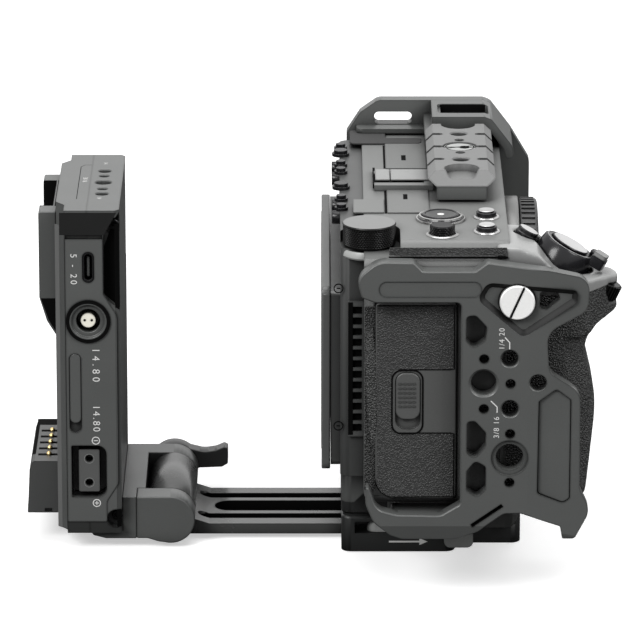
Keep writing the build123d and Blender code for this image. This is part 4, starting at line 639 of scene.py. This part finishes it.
deck_z = 116.8
deck = bmesh.new()
slab(deck, rounded(block(-14.8, -1.2, 15.5, 51.5), [0, 0, 0, 2.0]), deck_z - 0.1, deck_z + 0.45)
slab(deck, block(-14.8, -1.2, -39.3, -8.6), deck_z - 0.1, deck_z + 0.45)
slab(deck, block(-25.8, -15.8, -39.3, -23.5), deck_z - 0.1, deck_z + 0.5)
finished("deck_plates", deck, [deck_paint_painted_light], "cage", edge=0.15)
deck_lip = bmesh.new()
slab(deck_lip, rounded(block(-14.6, 22.6, 113.6, 116.2), 0.3), -77.46, -77.3, "Y")
finished("deck_lip", deck_lip, [leather], "cage")
# Painted shade: black sheets in the gap under the deck's lip and in the gaps of the deck plates.
lip_gap = bmesh.new()
slab(lip_gap, block(-14.8, 22.9, 112.6, 113.3), -77.5, -77.3, "Y")
painted_shade_sheet("deck_lip_gap", lip_gap, "cage")
deck_marks = bmesh.new()
for outline, rise in ((block(-9.5, -8.0, 25.4, 31.9), 0.48), (block(-9.5, -8.1, -23.5, -17.3), 0.48)):
    slab(deck_marks, outline, deck_z + 0.4, deck_z + rise)
for outline, rise in ((block(-15.5, -14.85, 16.5, 46.0), 0.08), (block(-15.6, -14.85, -39.3, -9.0), 0.08),
                      (block(-19.2, -18.45, -8.4, 12.2), 1.5)):
    slab(deck_marks, outline, deck_z - 0.1, deck_z + rise)
painted_shade_sheet("deck_gaps", deck_marks, "cage")
shoe_paint = grained_finish("shoe_paint", (0.17, 0.172, 0.17), 0.34, spread=0.08)
shoe_cover = bmesh.new()
for outline, low, high in ((block(-18.4, -13.65, -6.2, 6.6), 1.9, 2.5),
                           (block(-13.4, 0.5, -6.2, 6.6), 1.9, 2.5),
                           (block(-18.4, 0.5, -9.0, -6.5), 0.6, 1.4)):
    slab(shoe_cover, outline, deck_z + low, deck_z + high)
finished("shoe_cover", shoe_cover, [shoe_paint], "cage", edge=0.2)

housing_screws = bmesh.new()
for z in (98.9, 53.0):
    ring_slab(housing_screws, (-30.6, z), 1.25, 1.6, -64.05, -63.9, "Y")
    stroke(housing_screws, [(-31.2, z), (-30.0, z)], 0.35, -64.05, -63.9)
finished("housing_screws", housing_screws, [groove_shadow], "cage")
rear_buttons = bmesh.new()
for y, radius in ((46.0, 2.2), (38.0, 2.9), (24.0, 2.2), (15.0, 2.2), (-4.0, 2.9), (-19.0, 2.2),
                  (-30.0, 2.2)):
    for reach, low, high in ((radius, 115.5, 116.6), (radius - 0.6, 116.6, 117.6)):
        slab(rear_buttons, ring_outline(reach, 24, (-29.6, y)), low, high)
finished("rear_edge_buttons", rear_buttons, [gloss_black], "cage", edge=0.15)

vent_shadow = bmesh.new()
slab(vent_shadow, block(-27.3, -22.6, 50.4, 94.6), -64.14, -64.02, "Y")
slab(vent_shadow, block(-27.5, -26.0, 50.4, 94.6), -65.3, -65.1, "Y")
painted_shade_sheet("vent_shadow", vent_shadow, "cage")

# ---- hand grip
# Hand grip moulded with the shell's nose: soft rounded form with a finger hollow under the head,
# painted like the shell above the dial and covered in pebbled rubber below it.
grip_voxel = 0.7
grip_rounding = 10
rubber_top_z = 100.5
near_rubber_top_z = 104.0
near_rubber_y = -77.5
grip_back_x = 23.6
grip_root_x = 19.5
shell_gloss = grained_finish("shell_gloss", (0.2, 0.202, 0.2), 0.2, spread=0.08)
grip_bm = bmesh.new()
grip_bm.from_mesh(nodes["camera_grip"].data)
bmesh.ops.remove_doubles(grip_bm, verts=grip_bm.verts, dist=same_point)
for point in grip_bm.verts:
    if point.co.x < grip_back_x * MM:
        point.co.x = grip_root_x * MM
grip_mesh = bpy.data.meshes.new("grip_form")
grip_bm.to_mesh(grip_mesh)
grip_bm.free()
grip_form = bpy.data.objects.new("grip_form", grip_mesh)
bpy.context.collection.objects.link(grip_form)
skin = grip_form.modifiers.new("skin", "REMESH")
skin.mode = "VOXEL"
skin.voxel_size = grip_voxel * MM
soften = grip_form.modifiers.new("soften", "SMOOTH")
soften.factor = 0.5
soften.iterations = grip_rounding
view_layer = bpy.context.evaluated_depsgraph_get()
soft_mesh = bpy.data.meshes.new_from_object(grip_form.evaluated_get(view_layer))
bpy.data.objects.remove(grip_form)
grip_bm = bmesh.new()
grip_bm.from_mesh(soft_mesh)
for face in grip_bm.faces:
    middle = face.calc_center_median() / MM
    painted = middle.z > (rubber_top_z if middle.y > near_rubber_y else near_rubber_top_z)
    face.material_index = 1 if painted else 0
finished("hand_grip", grip_bm, [leather_dark, shell_gloss], "cage", crease=60,
         replaces=["camera_grip"])

# ---- card door
# Hinged card door: moulded frame with pebbled rubber set into two fields, and a ribbed slider
# that unlocks it; beside it a thumb ridge of the same rubber runs down the camera's corner.
door_y = -79.2
door_pads = bmesh.new()
slab(door_pads, rounded([(-18.4, 97.4), (5.9, 97.4), (5.9, 76.7), (-13.8, 76.7), (-13.8, 55.2), (5.9, 55.2),
                         (5.9, 34.2), (-18.4, 34.2)], [0.6, 0.6, 1.2, 2.2, 2.2, 1.2, 1.2, 5.0]),
     door_y - 0.12, door_y + 0.1, "Y")
finished("card_door_leather", door_pads, [leather], "card_door")
door_paint = grained_finish("door_paint", (0.056, 0.057, 0.056), 0.42, spread=0.1)
dress("camera_card_door", door_paint, 0.3)
dress("camera_door_latch", door_paint, 0.5, segments=3)
# Painted shade: black lines in the door's seams and in the groove round the latch slider.
door_lines = bmesh.new()
for line in ([(-18.4, 97.6), (6.1, 97.6), (6.1, 76.6), (4.9, 76.5), (-11.6, 76.5)],
             [(-11.6, 55.4), (4.9, 55.4), (6.1, 55.2), (6.1, 34.2), (-13.0, 34.0)]):
    stroke(door_lines, line, 0.35, door_y - 0.14, door_y + 0.1)
painted_shade_sheet("card_door_seams", door_lines, "card_door")
latch_frame = bmesh.new()
outer = rounded(block(-13.9, -3.6, 54.9, 76.5), 3.4, 6)
inner = rounded(block(-13.4, -4.1, 55.4, 76.0), 2.9, 6)
loops = [[latch_frame.verts.new(placed(x, z, level, "Y")) for x, z in ring]
         for ring, level in ((outer, door_y + 0.1), (outer, door_y - 0.16), (inner, door_y - 0.16),
                             (inner, door_y + 0.1))]
for side in range(4):
    strip(latch_frame, loops[side], loops[(side + 1) % 4])
painted_shade_sheet("door_latch_groove", latch_frame, "card_door")


def grown_tree(name, sockets):
    """Empty node tree for repeated shapes, with named sizes and a finish as its inputs."""
    tree = bpy.data.node_groups.new(name, "GeometryNodeTree")
    tree.is_modifier = True
    tree.interface.new_socket("Shape", in_out="OUTPUT", socket_type="NodeSocketGeometry")
    for label, kind, value in sockets:
        socket = tree.interface.new_socket(label, in_out="INPUT", socket_type="NodeSocket" + kind)
        socket.default_value = value
    tree.interface.new_socket("Finish", in_out="INPUT", socket_type="NodeSocketMaterial")
    return tree, add_node(tree, "NodeGroupInput").outputs


def close_tree(tree, given, instances):
    """Ends a tree: real geometry, then its finish."""
    real = add_node(tree, "GeometryNodeRealizeInstances", {0: instances})
    paint = add_node(tree, "GeometryNodeSetMaterial", {"Geometry": real.outputs[0],
                                                       "Material": given["Finish"]})
    add_node(tree, "NodeGroupOutput", {"Shape": paint.outputs[0]})


def copies(tree, points, shape, rotation=None):
    """A shape set on every point."""
    sockets = {"Points": points, "Instance": shape}
    if rotation is not None:
        sockets["Rotation"] = rotation
    return add_node(tree, "GeometryNodeInstanceOnPoints", sockets).outputs[0]


def grown(bm, tree, settings, place, finish=0):
    """Adds what a tree makes, with its inputs set, at a place."""
    holder = bpy.data.objects.new("grown", bpy.data.meshes.new("grown"))
    bpy.context.collection.objects.link(holder)
    maker = holder.modifiers.new("maker", "NODES")
    maker.node_group = tree
    for socket in tree.interface.items_tree:
        if socket.in_out == "INPUT" and socket.name in settings:
            maker[socket.identifier] = settings[socket.name]
    result = bpy.data.meshes.new_from_object(holder.evaluated_get(bpy.context.evaluated_depsgraph_get()))
    result.transform(place)
    start = len(bm.faces)
    bm.from_mesh(result)
    bm.faces.ensure_lookup_table()
    for face in bm.faces[start:]:
        face.material_index = finish
    bpy.data.objects.remove(holder)


def rib_field_tree():
    """Rows and columns of small raised ribs on a flat face."""
    tree, given = grown_tree("rib_field", [
        ("Columns", "Int", 4), ("Rows", "Int", 6), ("Width", "Float", 0.0045), ("Height", "Float", 0.0075),
        ("Rib Length", "Float", 0.001), ("Rib Width", "Float", 0.0005), ("Rib Rise", "Float", 0.0004)])
    grid = add_node(tree, "GeometryNodeMeshGrid", {
        "Size X": given["Width"], "Size Y": given["Height"], "Vertices X": given["Columns"],
        "Vertices Y": given["Rows"]})
    size = add_node(tree, "ShaderNodeCombineXYZ", {"X": given["Rib Length"], "Y": given["Rib Width"],
                                                   "Z": given["Rib Rise"]})
    rib = add_node(tree, "GeometryNodeMeshCube", {"Size": size.outputs[0]})
    close_tree(tree, given, copies(tree, grid.outputs["Mesh"], rib.outputs["Mesh"]))
    return tree


rib_field = rib_field_tree()
latch_ribs = bmesh.new()
grown(latch_ribs, rib_field, {"Finish": door_paint}, at(-8.85, -79.55, 68.05) @ near_facing)
finished("door_latch_ribs", latch_ribs, [door_paint], "door_latch")

thumb = bmesh.new()
ridge_rings = []
for z, width, rise in ((93.5, 0.3, 0.0), (90.0, 1.5, 0.7), (82.0, 2.1, 1.5), (70.0, 2.2, 1.7),
                       (58.0, 2.1, 1.5), (50.0, 1.6, 0.8), (44.0, 0.4, 0.0)):
    middle = -21.0 + (93.5 - z) * 0.045
    ridge_rings.append([])
    for turn in (pi * k / 8 for k in range(9)):
        spot = placed(middle - width * cos(turn), z, -77.9 - rise * sin(turn), "Y")
        ridge_rings[-1].append(thumb.verts.new(spot))
for lower, upper in zip(ridge_rings, ridge_rings[1:]):
    strip(thumb, lower, upper)
thumb.faces.new(ridge_rings[0])
thumb.faces.new(ridge_rings[-1])
slab(thumb, rounded(block(-22.35, -18.95, 36.0, 97.0), 0.4), -78.25, -77.9, "Y")
finished("thumb_ridge", thumb, [leather_dark], "cage", crease=50)

# ---- rear dial
# Turned aluminium dial: flat blasted top and black diamond-knurled rim. It stands on a light
# seat ring at the corner that the top cover leaves open.


def lathe(bm, profile, place, segments=64, finish=0):
    """Turned shape: (radius, height) points in millimetres round a place's axis, closed at radius 0."""
    finishes = finish if isinstance(finish, (list, tuple)) else [finish] * len(profile)
    rings = []
    for radius, height in profile:
        turns = segments if radius > 0 else 1
        rings.append([bm.verts.new(place @ (Vector((radius * cos(2 * pi * k / segments),
                                                    radius * sin(2 * pi * k / segments), height)) * MM))
                      for k in range(turns)])
    for lower, upper, paint in zip(rings, rings[1:], finishes):
        for k in range(segments):
            corners = [lower[k % len(lower)], lower[(k + 1) % segments % len(lower)],
                       upper[(k + 1) % segments % len(upper)], upper[k % len(upper)]]
            corners = list(dict.fromkeys(corners))
            if len(corners) > 2:
                bm.faces.new(corners).material_index = paint


def facing_out(tree, tilt=0.0):
    """Rotation that turns each copy away from the z axis, after a tilt."""
    where = add_node(tree, "GeometryNodeInputPosition").outputs[0]
    parts = add_node(tree, "ShaderNodeSeparateXYZ", {0: where}).outputs
    heading = add_math(tree, "ARCTAN2", parts["Y"], parts["X"])
    aim = add_node(tree, "ShaderNodeCombineXYZ", {"Y": tilt, "Z": heading})
    return add_node(tree, "FunctionNodeEulerToRotation", {0: aim.outputs[0]}).outputs[0]


def diamond_knurl_tree():
    """Pyramid teeth in staggered rows round a cylinder."""
    tree, given = grown_tree("diamond_knurl", [
        ("Radius", "Float", 0.0085), ("Teeth", "Int", 48), ("Rows", "Int", 5), ("Row Pitch", "Float", 0.0012),
        ("Tooth Size", "Float", 0.0007), ("Tooth Height", "Float", 0.0005)])
    rise = add_node(tree, "ShaderNodeCombineXYZ", {"Z": given["Row Pitch"]})
    axis = add_node(tree, "GeometryNodeMeshLine", {"Count": given["Rows"], "Offset": rise.outputs[0]})
    hoop = add_node(tree, "GeometryNodeMeshCircle", {"Vertices": given["Teeth"], "Radius": given["Radius"]})
    row = add_node(tree, "GeometryNodeInputIndex").outputs[0]
    shift = add_math(tree, "MULTIPLY", add_math(tree, "MODULO", row, 2.0),
                     add_math(tree, "DIVIDE", pi, given["Teeth"]))
    stagger = add_node(tree, "ShaderNodeCombineXYZ", {"Z": shift})
    stagger_turn = add_node(tree, "FunctionNodeEulerToRotation", {0: stagger.outputs[0]})
    rows = copies(tree, axis.outputs["Mesh"], hoop.outputs["Mesh"], stagger_turn.outputs[0])
    places = add_node(tree, "GeometryNodeRealizeInstances", {0: rows})
    tooth = add_node(tree, "GeometryNodeMeshCone", {
        "Vertices": 4, "Radius Top": 0.0, "Radius Bottom": given["Tooth Size"],
        "Depth": given["Tooth Height"]}, fill_type="NONE")
    close_tree(tree, given, copies(tree, places.outputs[0], tooth.outputs["Mesh"], facing_out(tree, pi / 2)))
    return tree


def rib_ring_tree():
    """Straight ribs standing round a cylinder, parallel to its axis."""
    tree, given = grown_tree("rib_ring", [
        ("Radius", "Float", 0.008), ("Ribs", "Int", 36), ("Rib Width", "Float", 0.0006),
        ("Rib Rise", "Float", 0.0008), ("Rib Length", "Float", 0.005)])
    hoop = add_node(tree, "GeometryNodeMeshCircle", {"Vertices": given["Ribs"], "Radius": given["Radius"]})
    size = add_node(tree, "ShaderNodeCombineXYZ", {"X": given["Rib Rise"], "Y": given["Rib Width"],
                                                   "Z": given["Rib Length"]})
    rib = add_node(tree, "GeometryNodeMeshCube", {"Size": size.outputs[0]})
    close_tree(tree, given, copies(tree, hoop.outputs["Mesh"], rib.outputs["Mesh"], facing_out(tree)))
    return tree


def standing_at(x, y, z=0.0, lean=0.0):
    """Place of a turned piece in millimetres, its axis leaning towards the lens by some degrees."""
    return at(x, y, z) @ Matrix.Rotation(radians(lean), 4, "Y")


def control(name, bm, materials, crease=30.0, edge=0.0):
    """Finished knob or button that moves by itself and takes the place of the plain solid of its name."""
    finished(name, bm, materials, name, edge, crease, replaces=["camera_" + name])


diamond_knurl = diamond_knurl_tree()
rib_ring = rib_ring_tree()
dial_top_finish = grained_finish("dial_top", (0.13, 0.131, 0.13), 0.42, spread=0.06)
knurl_black = grained_finish("knurl_black", (0.006, 0.006, 0.006), 0.34, spread=0.1, specular=0.2)
rear_dial_axis = standing_at(-20.8, -59.0)
dial = bmesh.new()
lathe(dial, [(0, 112.0), (7.6, 112.0), (8.1, 112.4), (8.1, 118.7), (8.55, 118.85), (8.6, 119.1),
             (8.35, 119.5), (0, 119.5)], rear_dial_axis, 72, [1, 1, 1, 1, 1, 1, 0])
grown(dial, diamond_knurl, {"Radius": 8.05 * MM, "Teeth": 58, "Rows": 10, "Row Pitch": 0.6 * MM,
                            "Tooth Size": 0.5 * MM, "Tooth Height": 0.45 * MM, "Finish": knurl_black},
      standing_at(-20.8, -59.0, 112.9), 1)
dial_seat = bmesh.new()
lathe(dial_seat, [(8.2, 109.0), (8.9, 109.0), (9.3, 109.6), (9.1, 111.0), (8.75, 111.6), (8.2, 111.6),
                  (8.2, 109.0)], rear_dial_axis, 72)
finished("dial_seat", dial_seat, [lever_finish], "cage", crease=40)
control("rear_dial", dial, [dial_top_finish, knurl_black], 32)

# ---- top controls
# Record button in two bright rings, small knurled dial on a bright skirt, and two stacked
# buttons: turned aluminium rings and gloss black caps with bright tops.
record_axis = standing_at(2.2, -46.0)
record_ring = bmesh.new()
lathe(record_ring, [(6.2, 116.2), (6.2, 118.2), (6.5, 118.5), (7.0, 118.4), (7.1, 117.8), (7.5, 117.5),
                    (7.9, 117.5), (8.0, 117.2), (8.0, 116.2), (6.2, 116.2)], record_axis, 72,
      [0, 0, 0, 0, 1, 0, 0, 0, 0])
finished("record_ring", record_ring, [camera_silver, gloss_black], "cage", crease=30,
         replaces=["camera_record_ring"])
button_face = grained_finish("button_face", (0.03, 0.0305, 0.0305), 0.3, spread=0.08)
record = bmesh.new()
lathe(record, [(0, 115.0), (5.9, 115.0), (5.9, 118.5), (5.6, 118.8), (5.1, 118.8), (4.9, 118.55),
               (0, 118.45)], record_axis, 64, [1, 1, 1, 1, 1, 0])
lathe(record, [(0, 118.4), (1.15, 118.4), (1.15, 118.53), (0, 118.53)], record_axis, 24, 2)
control("record_button", record, [button_face, gloss_black, white_ink])

button_silver = grained_finish("button_silver", (0.42, 0.42, 0.42), 0.3, metallic=0.8, spread=0.06)
for index, (x, y) in enumerate(((16.9, -43.5), (16.6, -60.8)), 1):
    stack = bmesh.new()
    lathe(stack, [(0, 115.2), (4.2, 115.2), (4.2, 117.0), (4.05, 117.25), (3.5, 117.35), (3.25, 117.5),
                  (3.25, 118.6), (3.0, 118.75), (2.6, 118.8), (2.6, 119.2), (2.4, 119.4), (0, 119.3)],
          standing_at(x, y), 48, [0, 0, 0, 0, 1, 1, 1, 1, 1, 0, 0])
    control(f"top_button_{index}", stack, [button_silver, gloss_black])

control_axis = standing_at(2.4, -64.0)
small_dial = bmesh.new()
lathe(small_dial, [(0, 115.4), (3.7, 115.4), (3.7, 119.7), (3.4, 120.05), (0, 119.95)], control_axis, 48)
grown(small_dial, diamond_knurl, {"Radius": 3.65 * MM, "Teeth": 24, "Rows": 6, "Row Pitch": 0.6 * MM,
                                  "Tooth Size": 0.5 * MM, "Tooth Height": 0.45 * MM, "Finish": knurl_black},
      standing_at(2.4, -64.0, 116.6))
control("control_dial", small_dial, [knurl_black], 32)
skirt = bmesh.new()
lathe(skirt, [(4.3, 116.7), (5.2, 116.7), (5.3, 116.9), (5.1, 117.1), (4.5, 117.3), (4.3, 117.2),
              (4.3, 116.7)], control_axis, 56)
finished("control_dial_skirt", skirt, [camera_silver], "cage", crease=30)

# ---- function, zoom and shutter
# Tilted controls on the grip's head: a small button, a ring with a finger tab round the shutter,
# and the shutter button with its bright dished disc.
function_axis = standing_at(29.2, -56.0, 114.2, 28)
function = bmesh.new()
lathe(function, [(0, -1.4), (3.7, -1.4), (3.7, 0.8), (3.4, 1.1), (3.4, 2.1), (3.1, 2.4), (0, 2.55)],
      function_axis, 48, [1, 1, 1, 1, 1, 0])
control("function_button", function, [button_silver, gloss_black])

shutter_axis = standing_at(43.6, -58.0, 112.4, 29)
shutter = bmesh.new()
lathe(shutter, [(0, -6.4), (5.2, -6.4), (6.1, -1.2), (6.2, -0.3), (6.0, 0.0), (5.0, -0.1), (0, -0.7)],
      shutter_axis, 64, [1, 1, 1, 1, 0, 0])
control("shutter_button", shutter, [button_silver, gloss_black])
tab_grey = grained_finish("tab_grey", (0.13, 0.131, 0.13), 0.32, spread=0.08)
collar = bmesh.new()
lathe(collar, [(6.35, -7.6), (9.5, -7.95), (10.0, -7.5), (9.5, -4.6), (8.75, -1.2), (8.4, -0.75),
               (6.75, -0.75), (6.35, -1.2), (6.35, -7.6)], shutter_axis, 72)
lathe(collar, [(7.75, -0.8), (8.15, -0.8), (8.15, -0.62), (7.75, -0.62), (7.75, -0.8)], shutter_axis, 72, 1)
tab_place = shutter_axis @ Matrix.Rotation(radians(-17), 4, "Z")
for rises, root, tip, half, paint in (((-2.5, 0.9), 8.2, 12.9, 3.0, 0), ((1.0, 2.4), 8.4, 12.6, 2.8, 2)):
    outline = rounded(block(root, tip, -half, half), [0.3, 1.0, 1.0, 0.3])
    floor_ring, top_ring = ([collar.verts.new(tab_place @ placed(u, v, level, "Z")) for u, v in outline]
                            for level in rises)
    for ring in (floor_ring, top_ring):
        collar.faces.new(ring).material_index = paint
    strip(collar, floor_ring, top_ring, paint)
nub_place = shutter_axis @ Matrix.Rotation(radians(10), 4, "Z") @ at(9.4, 0, 0)
lathe(collar, [(0, -1.2), (2.1, -1.2), (2.1, 0.7), (1.7, 1.2), (0, 1.35)], nub_place, 32)
control("zoom_collar", collar, [gloss_black, button_silver, tab_grey], 35, 0.2)

# ---- front dial
# Moulded black dial with straight ribs round its rim, let into the grip's nose on a leaning
# pin, with part of its rim standing out for the finger.
front_axis = standing_at(53.8, -58.5, 98.2, 25)
front = bmesh.new()
lathe(front, [(0, -2.4), (5.1, -2.4), (5.4, -2.1), (5.4, 2.1), (5.1, 2.4), (0, 2.4)], front_axis, 48)
grown(front, rib_ring, {"Radius": 5.4 * MM, "Ribs": 30, "Rib Width": 0.5 * MM, "Rib Rise": 0.8 * MM,
                        "Rib Length": 4.4 * MM, "Finish": knurl_black}, front_axis)
control("front_dial", front, [knurl_black], 32)

# ---- screen
# Hinged monitor, folded flat with its glass outwards: gloss black glass and a darker picture
# area in a painted frame.
dress("camera_screen", camera_paint, 0.4)
glass = bmesh.new()
slab(glass, rounded(block(-53.5, 53.5, 41.5, 92.5), 2.0), -36.12, -35.9, "X")
finished("screen_glass", glass, [gloss_black], "screen", edge=0.1)
panel = bmesh.new()
slab(panel, rounded(block(-46.5, 46.5, 45.5, 90.0), 0.6), -36.15, -36.0, "X")
finished("screen_panel", panel, [grained_finish("panel_glass", (0.018, 0.02, 0.023), 0.12, spread=0.03)],
         "screen")

# ---- lens mount and cap
# Turned bayonet ring, grey and half bright, screwed to the camera's front and closed by a
# moulded black body cap with a ribbed rim.
mount_ring = grained_finish("mount_ring", (0.14, 0.14, 0.138), 0.36, metallic=0.6, spread=0.05)
dress("camera_lens_mount", mount_ring, 0.3)
dress("camera_body_cap", moulded_black, 0.8, segments=3)
cap_ribs = bmesh.new()
grown(cap_ribs, rib_ring, {"Radius": 34.0 * MM, "Ribs": 72, "Rib Width": 1.3 * MM, "Rib Rise": 0.9 * MM,
                           "Rib Length": 4.4 * MM, "Finish": moulded_black}, standing_at(31.6, 0.0, 76.0, 90))
finished("body_cap_ribs", cap_ribs, [moulded_black], "body_cap", crease=30)
